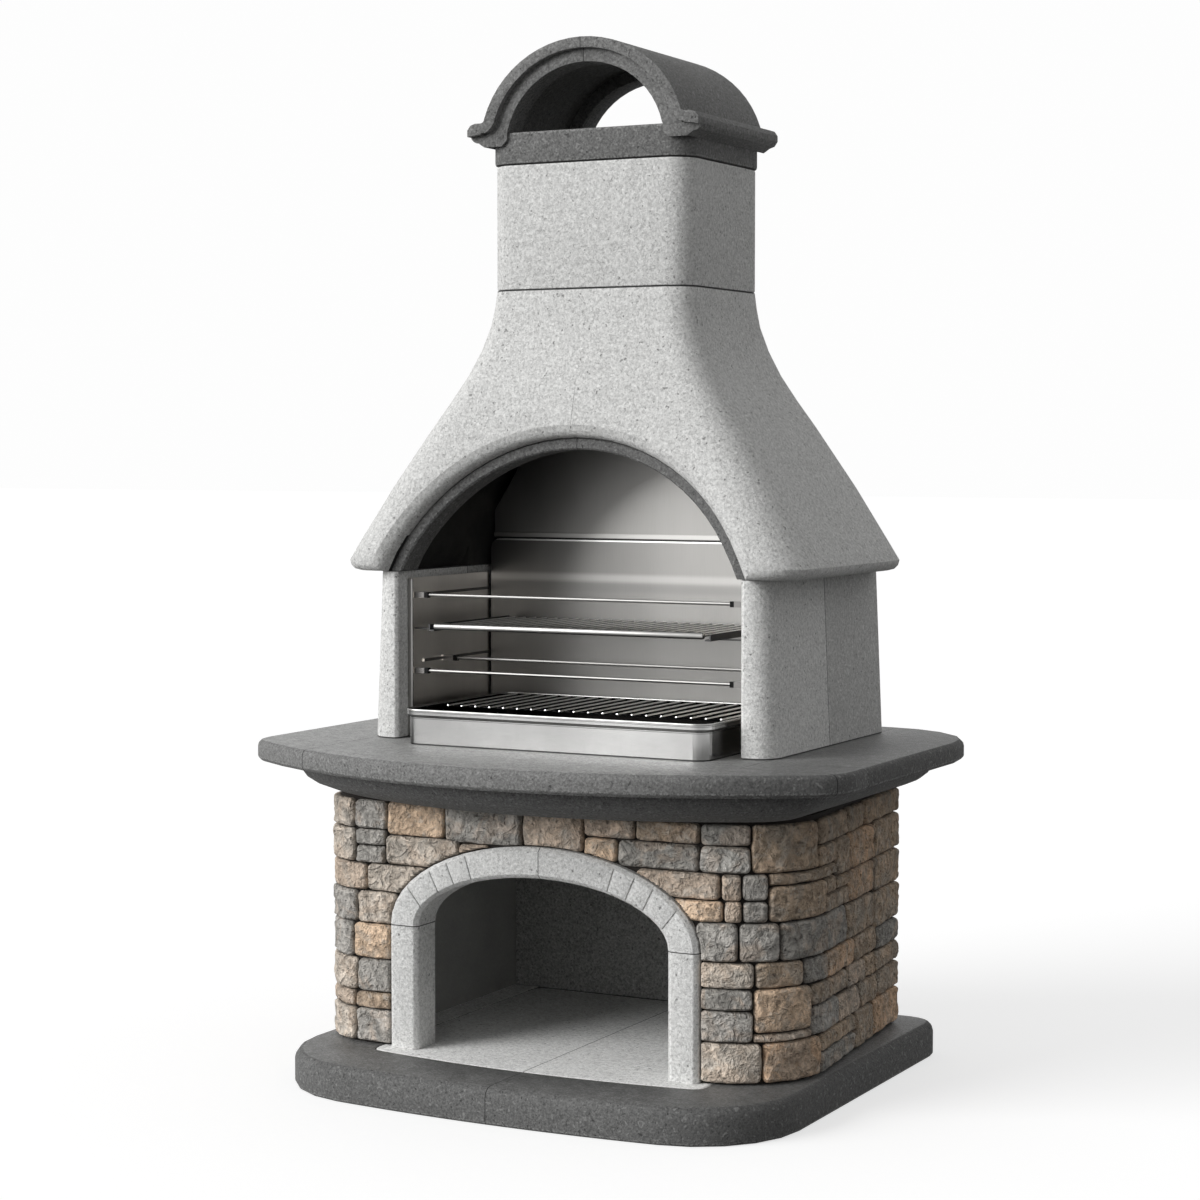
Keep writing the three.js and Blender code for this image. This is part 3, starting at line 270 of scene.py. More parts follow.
class Concrete(Finish):
    """Cast concrete: fine sand, short threads, grains, small pits, worn edges lightened partly as painted
    highlight, and dark joints.
    """

    def __init__(self, name, tone, recipe, painted_shade_right=0):
        super().__init__(name)
        self.body = grey(tone)
        self.recipe = recipe
        self.fleck = recipe["fleck"]
        self.sand = self.noise(recipe["sand"], 2, 0.7)
        thread = self.noise(THREAD_GRAIN, 2, 0.6, 1.0, shift=(5, 2, 7)).near(0.5, 0.012, 0.03)
        patch = self.noise(PATCH_GRAIN, 1, 0.5, shift=(2, 8, 1)).between(0.44, 0.56)
        grit = self.noise(GRIT_GRAIN, 1, 0.5, shift=(6, 2, 4))
        self.dark_threads = thread * patch
        self.light_threads = thread * (1 - patch)
        self.pits = 1 - grit.between(0.24, 0.29)
        self.grains = grit.between(0.63, 0.7)
        contrast = recipe["contrast"]
        cloud = self.noise(CLOUD_GRAIN, 3, 0.6)
        # Partly painted shading: lighter where the sand stands higher in the relief
        shade = 0.92 - contrast / 2 + 0.16 * cloud + contrast * self.sand
        # Painted shade: the shade is darkened towards the right side
        self.shade = shade * (1 - painted_shade_right * self.axis("X").between(*PAINTED_SHADE_REACH))

    def cast_color(self):
        speckle = self.recipe["speckle"]
        color = self.tinted(self.body, self.shade)
        color = self.mix(self.dark_threads * self.fleck, color, scaled(self.body, 0.4))
        light = (self.light_threads * 0.5 + self.grains).at_most(1)
        color = self.mix(light * self.fleck, color, speckle)
        color = self.mix(self.pits * 0.75, color, scaled(self.body, 0.3))
        # Partly painted highlight: rounded edges are lightened, as wear and as light along the arris
        edge_wear_and_highlight = self.attribute("edge") * self.sand.between(0.4, 0.6)
        return self.mix(edge_wear_and_highlight * self.fleck * 1.3, color, speckle)

    def lit_top_color(self, tone):
        """A trowelled top: its own tone, lighter than the sides partly as painted light from above, mottled,
        with fainter marks.
        """
        mottle = self.noise(MOTTLE_GRAIN, 4, 0.75, shift=(3, 3, 1))
        color = self.tinted(grey(tone), self.shade * (0.3 + 1.4 * mottle))
        color = self.mix(self.light_threads * self.fleck * 0.5, color, self.recipe["speckle"])
        return self.mix((self.dark_threads + self.pits).at_most(1) * 0.4, color, self.body)

    def relief(self):
        raised = self.sand * 0.5 + self.light_threads * 0.3 + self.grains * 0.3
        return self.bump(raised - self.dark_threads * 0.3 - self.pits, self.recipe["relief"])


def cast_concrete(name, tone, seams, recipe, top=None, painted_shade_right=0):
    """A casting's finish. Top is the level in millimetres and the tone of a trowelled top, if it has one,
    which is lighter partly as painted light from above.
    """
    finish = Concrete(name, tone, recipe, painted_shade_right)
    color = finish.cast_color()
    rough = 0.8 + 0.1 * finish.sand
    if top:
        level, lit_top_tone = top
        flat = finish.axis("Z").between((level - 1.5) * MM, (level - 0.5) * MM)
        # Partly painted light: the flat top takes its own lighter tone
        color = finish.mix(flat, color, finish.lit_top_color(lit_top_tone))
        rough = rough - 0.35 * flat
    for seam in seams:
        color = finish.mix(finish.seam(*seam) * 0.9, color, NEAR_BLACK)
    finish.set(Base_Color=color, Roughness=rough, Normal=finish.relief(), Specular_IOR_Level=0.4)
    return finish.material


def sooty_concrete():
    """Inside of the hood, blackened by smoke."""
    finish = Finish("sooty_concrete")
    cloud = finish.noise(140 * MM, 4, 0.6)
    sand = finish.noise(4 * MM, 3, 0.7)
    color = finish.mix(cloud.between(0.4, 0.65), (0.016, 0.016, 0.016), (0.034, 0.033, 0.031))
    finish.set(
        Base_Color=finish.tinted(color, 0.7 + 0.6 * sand),
        Roughness=0.85 + 0.1 * sand,
        Normal=finish.bump(sand, 1.2 * MM),
        Specular_IOR_Level=0.2,
    )
    return finish.material


# The wall is plain concrete where it is nearer the middle than the first of these and behind the second
STORE_SIDE = (450 * MM, 452 * MM)
STORE_FACE = (-210 * MM, -208 * MM)
# Mortar near black, partly painted shade in the joints
SHADED_MORTAR = (0.022, 0.019, 0.017)
# The store's inner walls are a paler grey partly as painted light inside the store
STORE_WALL = (0.34, 0.34, 0.33)


def wall_core_finish():
    """Dark mortar behind the stones, near black partly as painted shade in the joints, and plain grey
    concrete inside the wood store.
    """
    finish = Finish("wall_core")
    inside = 1 - finish.axis("X").size().between(*STORE_SIDE)
    inside = inside * finish.axis("Y").between(*STORE_FACE)
    sand = finish.noise(4 * MM, 3, 0.7)
    cloud = finish.noise(120 * MM, 3, 0.6)
    finish.set(
        Base_Color=finish.tinted(finish.mix(inside, SHADED_MORTAR, STORE_WALL), 0.6 + 0.5 * sand + 0.3 * cloud),
        Roughness=0.9,
        Normal=finish.bump(sand, 1.5 * MM),
        Specular_IOR_Level=0.2,
    )
    return finish.material


# Split stone: the depth of its bump, and the tones that its patches, chips, pits and hollows turn to; the
# hollows' tone is painted shade
STONE_BUMP = 11 * MM
STONE_GREY = (0.33, 0.32, 0.295)
STONE_WARM = (0.62, 0.45, 0.32)
STONE_CHIP = (0.74, 0.69, 0.62)
STONE_PIT = (0.06, 0.05, 0.045)
STONE_HOLLOW_SHADE = (0.02, 0.017, 0.015)


def stone_finish():
    """Split stone: its own tone from the mesh, mottled, lighter where its facets stand higher partly as
    painted light, with pale chips and hollows darkened as painted shade.
    """
    finish = Finish("split_stone")
    tone = finish.attribute("tone", "Color")
    hollow_shade = finish.attribute("hollow_shade")
    patch = finish.noise(80 * MM, 4, 0.6, 1.0).between(0.45, 0.6)
    warm = finish.noise(60 * MM, 3, 0.6, 0.8, shift=(9, 4, 2)).between(0.48, 0.64)
    facets = finish.noise(30 * MM, 4, 0.62, 0.9, shift=(2, 7, 1)).between(0.34, 0.66)
    grain = finish.noise(9 * MM, 3, 0.72, shift=(1, 1, 5)).between(0.3, 0.7)
    sand = finish.noise(4.2 * MM, 2, 0.7)
    chips = finish.noise(17 * MM, 3, 0.7, 0.6, shift=(4, 1, 6)).between(0.54, 0.66)
    pits = 1 - finish.noise(12 * MM, 2, 0.6, shift=(7, 3, 3)).between(0.3, 0.38)
    color = finish.mix(patch * 0.45, tone, STONE_GREY)
    color = finish.mix(warm * 0.3, color, STONE_WARM)
    # Partly painted light: lighter where the facets and grain stand higher in the bump
    color = finish.tinted(color, 0.4 + 0.48 * facets + 0.46 * grain + 0.3 * sand)
    color = finish.mix(chips * 0.35, color, STONE_CHIP)
    color = finish.mix(pits * 0.45, color, STONE_PIT)
    # Painted shade in the hollows
    color = finish.mix(hollow_shade * 0.9, color, STONE_HOLLOW_SHADE)
    height = facets * 0.6 + grain * 0.24 + sand * 0.08 + chips * 0.1 - pits * 0.3
    bump = finish.bump(height, STONE_BUMP)
    finish.set(Base_Color=color, Roughness=0.9, Normal=bump, Specular_IOR_Level=0.25)
    return finish.material


# Noise stretched by this draws brush lines and bands up a sheet
UPRIGHT = (1, 1, 0.03)
BRUSH_GRAIN = 1.8 * MM
BAND_GRAIN = 110 * MM
SMUDGE_GRAIN = 160 * MM


def brushed(name, color, roughness, dark, surface_marks):
    """Brushed sheet steel with soft dark bands. The last argument is a function that adds its folds and
    stains, and on the tray and the back also painted shade and highlights.
    """
    finish = Finish(name)
    brush = finish.noise(BRUSH_GRAIN, 2, 0.6, stretch=UPRIGHT)
    bands = finish.noise(BAND_GRAIN, 2, 0.5, shift=(3, 5, 1), stretch=UPRIGHT)
    smudge = finish.noise(SMUDGE_GRAIN, 2, 0.5, shift=(1, 2, 8))
    shade = 1.0 - dark / 2 + dark * bands + 0.12 * (brush - 0.5) + 0.2 * (smudge - 0.5)
    finish.set(
        Base_Color=surface_marks(finish, finish.tinted(color, shade)),
        Metallic=1.0,
        Roughness=roughness + 0.1 * (brush - 0.5) + 0.08 * (smudge - 0.5),
        Normal=finish.bump(brush, 0.05 * MM),
    )
    return finish.material


def plain_metal(name, color, roughness, metallic=1.0, painted_shade_below=None):
    """Plain metal, black below a level in millimetres as painted shade on its undersides."""
    finish = Finish(name)
    surface_marks = finish.noise(70 * MM, 3, 0.6)
    tinted = finish.tinted(color, 0.82 + 0.36 * surface_marks)
    # Painted shade: black below the level
    if painted_shade_below:
        above_shade = finish.axis("Z").between((painted_shade_below - 0.4) * MM, (painted_shade_below + 0.6) * MM)
        tinted = finish.mix(above_shade, NEAR_BLACK, tinted)
    finish.set(Base_Color=tinted, Metallic=metallic, Roughness=roughness + 0.05 * surface_marks)
    return finish.material


# Charcoal tray: satin outside with lines at its folds painted as shade, and black from the fire inside
TRAY_MIDDLE = (15 * MM, -40 * MM)
TRAY_HALF = (356 * MM, 220 * MM)
TRAY_CORNER = 35 * MM
TRAY_WALL = 3 * MM
TRAY_STEP = 6 * MM
# In millimetres: levels of the rim's top and the foot, the rim's height, the slope from it to the step, and
# the folds below the rim's top
TRAY_RIM = 792.3
TRAY_FOOT = 718.3
RIM_HEIGHT = 12
RIM_SLOPE = 6
RIM_FOLDS = (6, 12.5, 20)
TRAY_BURNT = (0.02, 0.019, 0.018)
TRAY_FOLD_SHADE = (0.06, 0.06, 0.06)
# The tray's front is painted lighter from the first place to the second as painted reflection, and darker
# where it bends at the corner as painted shade
TRAY_SHEEN_REACH = (-420 * MM, 300 * MM)
TRAY_BEND = 18 * MM


def tray_wear_and_painted_light(finish, color):
    across = (finish.axis("X") - TRAY_MIDDLE[0]).size() - (TRAY_HALF[0] - TRAY_CORNER)
    along = (finish.axis("Y") - TRAY_MIDDLE[1]).size() - (TRAY_HALF[1] - TRAY_CORNER)
    reach = across.at_least(0) ** 2 + along.at_least(0) ** 2
    level = finish.axis("Z")
    under_rim = TRAY_RIM - RIM_HEIGHT
    step = level.between((under_rim - RIM_SLOPE) * MM, under_rim * MM)
    depth = TRAY_CORNER - reach ** 0.5 - TRAY_STEP * (1 - step)
    outside = 1 - depth.between(TRAY_WALL * 0.4, TRAY_WALL * 0.6)
    rim = level.between((TRAY_RIM - 1) * MM, (TRAY_RIM - 0.2) * MM)
    bend = across.near(TRAY_BEND, 3 * MM, 14 * MM)
    # Painted reflection and shade: lighter towards the right, darker at the corner's bend
    color = finish.tinted(color, 0.62 + 0.5 * finish.axis("X").between(*TRAY_SHEEN_REACH) - 0.35 * bend)
    color = finish.mix(outside.at_least(rim), TRAY_BURNT, color)
    # Painted shadow: a dark line where the tray stands on the worktop
    color = finish.mix(finish.seam("Z", TRAY_FOOT, 1.2) * 0.9, color, NEAR_BLACK)
    # Painted shade along the folds below the rim
    for fold in RIM_FOLDS:
        color = finish.mix(finish.seam("Z", TRAY_RIM - fold, 0.4) * 0.6, color, TRAY_FOLD_SHADE)
    return color


# Lining at the back: the lower sheet is darker towards the left as painted shade. The lines are the painted
# shade under the crease, the crease's painted highlight, the upper sheet's hem and the lower sheet's top edge
# as painted highlights, and the
# gap between the two: level, half width and fade in millimetres, strength and tone
BACK_CREASE = 1052
BACK_TOP = 1135.3
BACK_SHADE_REACH = (-330 * MM, 280 * MM)
BACK_LINES = [
    (BACK_CREASE - 22, 2, 14, 0.25, (0.1, 0.1, 0.1)),
    (BACK_CREASE, 2, 12, 0.16, (0.75, 0.74, 0.72)),
    (BACK_TOP + 9, 3, 3, 0.3, (0.75, 0.74, 0.72)),
    (BACK_TOP - 1.5, 1.2, 0.8, 0.85, (0.9, 0.9, 0.88)),
    (BACK_TOP + 1.8, 1.4, 0.8, 0.9, (0.01, 0.01, 0.01)),
]


def back_folds_painted_light(finish, color):
    level = finish.axis("Z")
    low = 1 - level.between(BACK_TOP * MM, (BACK_TOP + 2) * MM)
    left = 1 - finish.axis("X").between(*BACK_SHADE_REACH)
    # Painted shade: the lower sheet darker towards the left
    color = finish.tinted(color, 1.04 - 0.5 * low * left)
    for place, half, fade, strength, tone in BACK_LINES:
        color = finish.mix(level.near(place * MM, half * MM, fade * MM) * strength, color, tone)
    return color


# Lining at the sides: the rod sockets are dark steel with black mouths. Distances from the middle
SOCKET_MOUTH = 366 * MM
SOCKET_FOOT = 391 * MM
SOCKET_STEEL = (0.16, 0.155, 0.15)
SOCKET_BLACK = (0.01, 0.01, 0.01)


def socket_steel(finish, color):
    out = finish.axis("X").size()
    socket = 1 - out.between(SOCKET_FOOT - MM, SOCKET_FOOT)
    mouth = 1 - out.between(SOCKET_MOUTH - 0.5 * MM, SOCKET_MOUTH + 0.5 * MM)
    color = finish.mix(socket, color, SOCKET_STEEL)
    return finish.mix(mouth, color, SOCKET_BLACK)


# Mesh tools
SHARP = math.radians(35)
MERGE_REACH = 0.02 * MM
FLAT_ENOUGH = math.radians(0.6)
WORN_RADIUS = 2.2 * MM
# Axis and level in millimetres of the planes where two castings meet, whose edges stay sharp
JOINT_PLANES = [(0, 0), (0, 465), (0, -465), (1, 120), (2, 336.35)]
JOINT_REACH = 0.5 * MM


def piece(name, mesh, finishes, slot, body="fireplace", replaces=()):
    """Turns a bmesh into a named piece that rides on a body."""
    for edge in mesh.edges:
        edge.smooth = not (edge.is_manifold and edge.calc_face_angle() > SHARP)
    data = bpy.data.meshes.new(name)
    mesh.to_mesh(data)
    mesh.free()
    data.shade_smooth()
    for finish in finishes:
        data.materials.append(finish)
    made = bpy.data.objects.new(name, data)
    bpy.context.scene.collection.objects.link(made)
    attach(made, body)
    if replaces:
        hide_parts(*replaces)
    return made


def merged_copy(node):
    """A CAD node's mesh with its loose triangles merged and its flat faces made whole."""
    mesh = bmesh.new()
    mesh.from_mesh(nodes[node].data)
    bmesh.ops.remove_doubles(mesh, verts=mesh.verts, dist=MERGE_REACH)
    bmesh.ops.dissolve_limit(mesh, angle_limit=FLAT_ENOUGH, verts=mesh.verts, edges=mesh.edges)
    return mesh


def face_outwards(mesh):
    """Turns the faces of a closed mesh outwards. The sign of its volume settles which way that is."""
    bmesh.ops.recalc_face_normals(mesh, faces=mesh.faces)
    if mesh.calc_volume(signed=True) < 0:
        bmesh.ops.reverse_faces(mesh, faces=mesh.faces)


def rounded(mesh, edges, radius, segments):
    """Rounds edges of a mesh and gives the faces of the rounding."""
    made = bmesh.ops.bevel(
        mesh,
        geom=edges,
        offset=radius,
        offset_type="OFFSET",
        segments=segments,
        profile=0.5,
        affect="EDGES",
        material=-1,
        clamp_overlap=True,
    )
    return made["faces"]


def in_joint(edge):
    ends = [v.co for v in edge.verts]
    return any(
        all(abs(end[axis] - level * MM) < JOINT_REACH for end in ends) for axis, level in JOINT_PLANES
    )


def is_exposed(edge):
    return edge.is_manifold and edge.calc_face_angle() > SHARP and not in_joint(edge)


def soften(node, finishes, inner=None):
    """A node's own shape with worn edges, in place of the node. The second finish goes on its inner faces."""
    mesh = merged_copy(node)
    exposed = [edge for edge in mesh.edges if is_exposed(edge)]
    # Faces of the rounding are marked, for worn edges with a painted highlight
    edge_wear_and_highlight = mesh.faces.layers.float.new("edge")
    for face in rounded(mesh, exposed, WORN_RADIUS, 2):
        face[edge_wear_and_highlight] = 1
    if inner:
        for face in inner(mesh):
            face.material_index = 1
    return piece(node + "_cast", mesh, finishes, slots[node], nodes[node]["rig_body"], [node])


# The hood's flue in plan, and its arched mouth: the axis and the radii between which its lining lies, and how
# far back the lining reaches at the mouth's foot and more for each metre above it
FLUE_AXIS = Vector((0, 120)) * MM
MOUTH_AXIS = Vector((0, 908.9)) * MM
MOUTH_LOW = 440 * MM
MOUTH_HIGH = 500 * MM
MOUTH_FOOT = 1077.5 * MM
MOUTH_DEPTH = -150 * MM
MOUTH_SLOPE = 0.234
# A face looks in where its normal leans this much against the spoke from the axis
LOOKS_IN = -0.2


def lines_mouth(face):
    """Whether a face of the hood lines its arched mouth."""
    middle = face.calc_center_median()
    spoke = middle.xz - MOUTH_AXIS
    looks_in = face.normal.xz.dot(spoke.normalized()) < LOOKS_IN
    in_front = middle.y < MOUTH_DEPTH + MOUTH_SLOPE * (middle.z - MOUTH_FOOT)
    return looks_in and in_front and MOUTH_LOW < spoke.length < MOUTH_HIGH


def flue_faces(mesh):
    """Faces of the hood with its shell between them and the open air: they look inwards, to the smoke."""
    shell = BVHTree.FromBMesh(mesh)
    for face in mesh.faces:
        place = face.calc_center_median() + face.normal * MM
        outward = Vector((*(place.xy - FLUE_AXIS), 0)).normalized()
        if shell.ray_cast(place, outward)[0] is not None and not lines_mouth(face):
            yield face


# Stone cladding. Each stone is laid out on the unrolled face of the wall: along it from the front's middle
# round to the rear corner, and up from the slab.
WALL_FOOT = 75 * MM
WALL_HEIGHT = 530 * MM
WALL_FRONT = 261 * MM
WALL_REAR = 455 * MM
WALL_FRONT_HALF = 553 * MM
WALL_REAR_HALF = 485 * MM
WALL_CORNER = {"right": 178 * MM, "left": 110 * MM}
STORE_HALF = 446 * MM
STORE_FRONT = 206 * MM
ARCH_HALF = 360 * MM
ARCH_RISE = 187 * MM
ARCH_SPRING = 336.5 * MM

# The two halves meet over the arch, left of the middle. Each is a front and a cheek with a fine gap between,
# and its curves have this many steps
WALL_MEETING = -43 * MM
WALL_GAP = 0.2 * MM
WALL_SPLIT = ARCH_HALF + 15 * MM
ARCH_STEPS = 24
CORNER_STEPS = 8

# How proud a stone stands and how far it reaches into the wall, the joints between stones at the front and,
# past a share of the path, on the cheeks, the rolls of a stone's edge and corner, and its mesh's step
STONE_RELIEF = 17 * MM
STONE_ROOT = 8 * MM
STONE_JOINT = 1.6 * MM
CHEEK_JOINT = 8 * MM
CHEEK_START = 0.58
STONE_EDGE = 7 * MM
STONE_CORNER = 11 * MM
STONE_STEP = 3.6 * MM
# Size and height of what makes a face split: broad lumps, flat chips and creases, and the waver of its edge
LUMP = (48 * MM, 2.4 * MM)
CHIP = (24 * MM, 4.4 * MM)
CREASE = (52 * MM, 3.6 * MM)
WAVER = (30 * MM, 3 * MM)
# A dip this deep adds its most painted shade
HOLLOW_DEPTH = 6 * MM
# How much of the waver is left at the very edge, and the most that a corner and an edge take of a half stone
WAVER_LEAST = 0.35
CORNER_MOST = 0.45
EDGE_MOST = 0.8
# The left side's stones are numbered from here on, so that they aren't the right side's over again
LEFT_SEEDS = 100

TONES = {
    "beige": (0.64, 0.56, 0.475),
    "tan": (0.62, 0.505, 0.405),
    "orange": (0.75, 0.56, 0.40),
    "rust": (0.66, 0.46, 0.31),
    "brown": (0.49, 0.38, 0.28),
    "umber": (0.42, 0.335, 0.255),
    "grey": (0.44, 0.42, 0.39),
    "pale_grey": (0.62, 0.60, 0.56),
    "dark_grey": (0.34, 0.325, 0.30),
}

# Start and end as shares of the path to the rear corner, bottom and top as shares of the wall's height, tone
RIGHT_STONES = [
    (-0.036, 0.084, 0.84, 0.985, "tan"),
    (0.084, 0.184, 0.902, 0.985, "tan"),
    (0.184, 0.306, 0.902, 0.985, "brown"),
    (0.306, 0.39, 0.902, 0.985, "grey"),
    (0.39, 0.523, 0.798, 0.985, "brown"),
    (0.523, 0.672, 0.883, 0.985, "umber"),
    (0.672, 0.774, 0.883, 0.985, "umber"),
    (0.774, 1, 0.883, 0.985, "brown"),
    (0.084, 0.15, 0.81, 0.902, "orange"),
    (0.15, 0.305, 0.798, 0.902, "dark_grey"),
    (0.305, 0.39, 0.798, 0.902, "pale_grey"),
    (0.523, 0.609, 0.798, 0.883, "brown"),
    (0.609, 0.686, 0.735, 0.883, "umber"),
    (0.686, 0.837, 0.735, 0.883, "rust"),
    (0.837, 1, 0.735, 0.883, "brown"),
    (0.186, 0.341, 0.696, 0.798, "tan"),
    (0.341, 0.375, 0.696, 0.798, "tan"),
    (0.375, 0.419, 0.696, 0.798, "grey"),
    (0.419, 0.609, 0.75, 0.798, "umber"),
    (0.419, 0.553, 0.613, 0.75, "brown"),
    (0.553, 0.609, 0.683, 0.75, "umber"),
    (0.609, 0.686, 0.683, 0.735, "brown"),
    (0.553, 0.686, 0.613, 0.683, "umber"),
    (0.686, 0.837, 0.605, 0.735, "rust"),
    (0.837, 1, 0.595, 0.735, "brown"),
    (0.251, 0.346, 0.613, 0.696, "orange"),
    (0.346, 0.376, 0.613, 0.696, "tan"),
    (0.376, 0.419, 0.613, 0.696, "grey"),
    (0.297, 0.37, 0.464, 0.613, "grey"),
    (0.37, 0.439, 0.464, 0.613, "grey"),
    (0.439, 0.669, 0.464, 0.613, "dark_grey"),
    (0.669, 0.837, 0.462, 0.605, "umber"),
    (0.837, 1, 0.445, 0.595, "brown"),
    (0.304, 0.396, 0.364, 0.464, "beige"),
    (0.396, 0.486, 0.364, 0.464, "brown"),
    (0.486, 0.56, 0.364, 0.464, "dark_grey"),
    (0.56, 0.72, 0.358, 0.462, "rust"),
    (0.72, 0.855, 0.358, 0.462, "umber"),
    (0.855, 1, 0.35, 0.445, "dark_grey"),
    (0.304, 0.394, 0.281, 0.364, "dark_grey"),
    (0.394, 0.505, 0.196, 0.364, "orange"),
    (0.505, 0.677, 0.275, 0.358, "umber"),
    (0.677, 0.783, 0.265, 0.358, "tan"),
    (0.783, 0.847, 0.265, 0.358, "brown"),
    (0.847, 1, 0.265, 0.35, "brown"),
    (0.304, 0.394, 0.16, 0.281, "grey"),
    (0.394, 0.505, 0.16, 0.196, "tan"),
    (0.505, 0.626, 0.16, 0.275, "grey"),
    (0.626, 0.75, 0.157, 0.265, "tan"),
    (0.75, 0.86, 0.157, 0.265, "umber"),
    (0.86, 1, 0.157, 0.265, "brown"),
    (0.304, 0.409, 0.006, 0.16, "beige"),
    (0.409, 0.532, 0.006, 0.16, "rust"),
    (0.532, 0.728, 0.087, 0.157, "brown"),
    (0.532, 0.728, 0.006, 0.087, "dark_grey"),
    (0.728, 0.839, 0.006, 0.157, "umber"),
    (0.839, 1, 0.006, 0.157, "rust"),
]
LEFT_STONES = [
    (0.037, 0.188, 0.838, 0.985, "grey"),
    (0.188, 0.304, 0.849, 0.985, "orange"),
    (0.304, 0.37, 0.866, 0.985, "grey"),
    (0.37, 0.56, 0.866, 0.985, "beige"),
    (0.56, 0.72, 0.88, 0.985, "grey"),
    (0.72, 0.86, 0.88, 0.985, "beige"),
    (0.86, 1, 0.88, 0.985, "brown"),
    (0.103, 0.16, 0.785, 0.838, "tan"),
    (0.16, 0.308, 0.728, 0.849, "beige"),
    (0.308, 0.37, 0.8, 0.866, "grey"),
    (0.308, 0.37, 0.728, 0.8, "grey"),
    (0.37, 0.53, 0.728, 0.866, "beige"),
    (0.53, 0.66, 0.74, 0.88, "tan"),
    (0.66, 0.85, 0.74, 0.88, "grey"),
    (0.85, 1, 0.74, 0.88, "beige"),
    (0.224, 0.346, 0.617, 0.728, "beige"),
    (0.346, 0.5, 0.617, 0.728, "tan"),
    (0.5, 0.68, 0.61, 0.74, "grey"),
    (0.68, 0.8, 0.61, 0.74, "brown"),
    (0.8, 1, 0.61, 0.74, "beige"),
    (0.285, 0.366, 0.487, 0.617, "beige"),
    (0.366, 0.55, 0.487, 0.617, "grey"),
    (0.55, 0.75, 0.47, 0.61, "beige"),
    (0.75, 0.88, 0.47, 0.61, "grey"),
    (0.88, 1, 0.47, 0.61, "tan"),
    (0.295, 0.375, 0.344, 0.487, "orange"),
    (0.375, 0.58, 0.344, 0.487, "grey"),
    (0.58, 0.7, 0.35, 0.47, "brown"),
    (0.7, 0.9, 0.35, 0.47, "beige"),
    (0.9, 1, 0.35, 0.47, "grey"),
    (0.295, 0.366, 0.21, 0.344, "grey"),
    (0.366, 0.6, 0.21, 0.344, "beige"),
    (0.6, 0.78, 0.2, 0.35, "tan"),
    (0.78, 1, 0.2, 0.35, "grey"),
    (0.295, 0.37, 0.142, 0.21, "brown"),
    (0.37, 0.57, 0.142, 0.21, "tan"),
    (0.57, 0.7, 0.1, 0.2, "grey"),
    (0.7, 0.86, 0.1, 0.2, "beige"),
    (0.86, 1, 0.1, 0.2, "brown"),
    (0.295, 0.37, 0.006, 0.142, "grey"),
    (0.37, 0.57, 0.006, 0.142, "beige"),
    (0.57, 0.72, 0.006, 0.1, "tan"),
    (0.72, 0.88, 0.006, 0.1, "grey"),
    (0.88, 1, 0.006, 0.1, "beige"),
]


class WallFace:
    """The outer face of one wall half, followed by its distance from the front's middle."""

    def __init__(self, side):
        self.mirror = 1 if side == "right" else -1
        self.corner = WALL_CORNER[side]
        cheek = Vector((WALL_REAR_HALF - WALL_FRONT_HALF, WALL_REAR + WALL_FRONT))
        self.turn = math.atan2(cheek.y, cheek.x)
        tangent = self.corner * math.tan(self.turn / 2)
        self.start = WALL_FRONT_HALF - tangent
        self.end = self.start + self.corner * self.turn
        self.path = self.end + cheek.length - tangent

    def point(self, along, level, proud):
        turned = min(max((along - self.start) / self.corner, 0), self.turn)
        straight = min(along - self.start, 0) + max(along - self.end, 0)
        x = self.start + (self.corner + proud) * math.sin(turned) + straight * math.cos(turned)
        y = self.corner - WALL_FRONT - (self.corner + proud) * math.cos(turned) + straight * math.sin(turned)
        return Vector((self.mirror * x, y, level))


def arch_nearness(x, z):
    """How far a point of the front lies outside the arch, and where on the arch it is nearest."""
    half = ARCH_HALF + STONE_JOINT
    rise = ARCH_RISE + STONE_JOINT
    if z < ARCH_SPRING:
        return abs(x) - half, Vector((math.copysign(half, x), z))
    reach = math.hypot(x / half, (z - ARCH_SPRING) / rise)
    place = Vector((x / reach, ARCH_SPRING + (z - ARCH_SPRING) / reach))
    return (Vector((x, z)) - place).length * math.copysign(1, reach - 1), place


def split_face(spot, shift):
    """How far a point of a split face stands out: broad lumps, flat chips with ledges, and creases."""
    lumps = noise.fractal(spot / LUMP[0] + shift, 0.9, 2.1, 3)
    chip_place = spot / CHIP[0] + shift * 1.7
    nearest = noise.voronoi(chip_place)[1][0]
    tilt = noise.noise_vector(nearest * 2.3)
    chip = (chip_place - nearest).dot(tilt) + 0.5 * tilt.z
    creases = noise.turbulence(spot / CREASE[0] + shift * 2, 4, True, amplitude_scale=0.55)
    return LUMP[1] * lumps + CHIP[1] * chip + CREASE[1] * (creases - 0.9)


def within_corner(flat, half, corner):
    """A point of a stone's plan drawn in to its rounded corners, and its distance from the edge."""
    past = Vector((abs(flat.x) - half.x + corner, abs(flat.y) - half.y + corner))
    if past.x <= 0 or past.y <= 0:
        return flat, min(half.x - abs(flat.x), half.y - abs(flat.y))
    past *= max(past) / past.length
    drawn = Vector((half.x - corner + past.x, half.y - corner + past.y))
    return Vector((math.copysign(drawn.x, flat.x), math.copysign(drawn.y, flat.y))), corner - past.length


def outside_arch(face, place, inward):
    """A point of a stone kept outside the arch, and its distance from the stone's edge or the arch."""
    away, nearest = arch_nearness(face.mirror * place.x, place.y)
    if away < 0:
        place = Vector((face.mirror * nearest.x, nearest.y))
    return place, max(min(inward, away), 0)


def stone_grid(half):
    mesh = bmesh.new()
    columns, rows = (max(6, round(2 * reach / STONE_STEP)) for reach in half)
    bmesh.ops.create_grid(mesh, x_segments=columns, y_segments=rows, size=1)
    return mesh


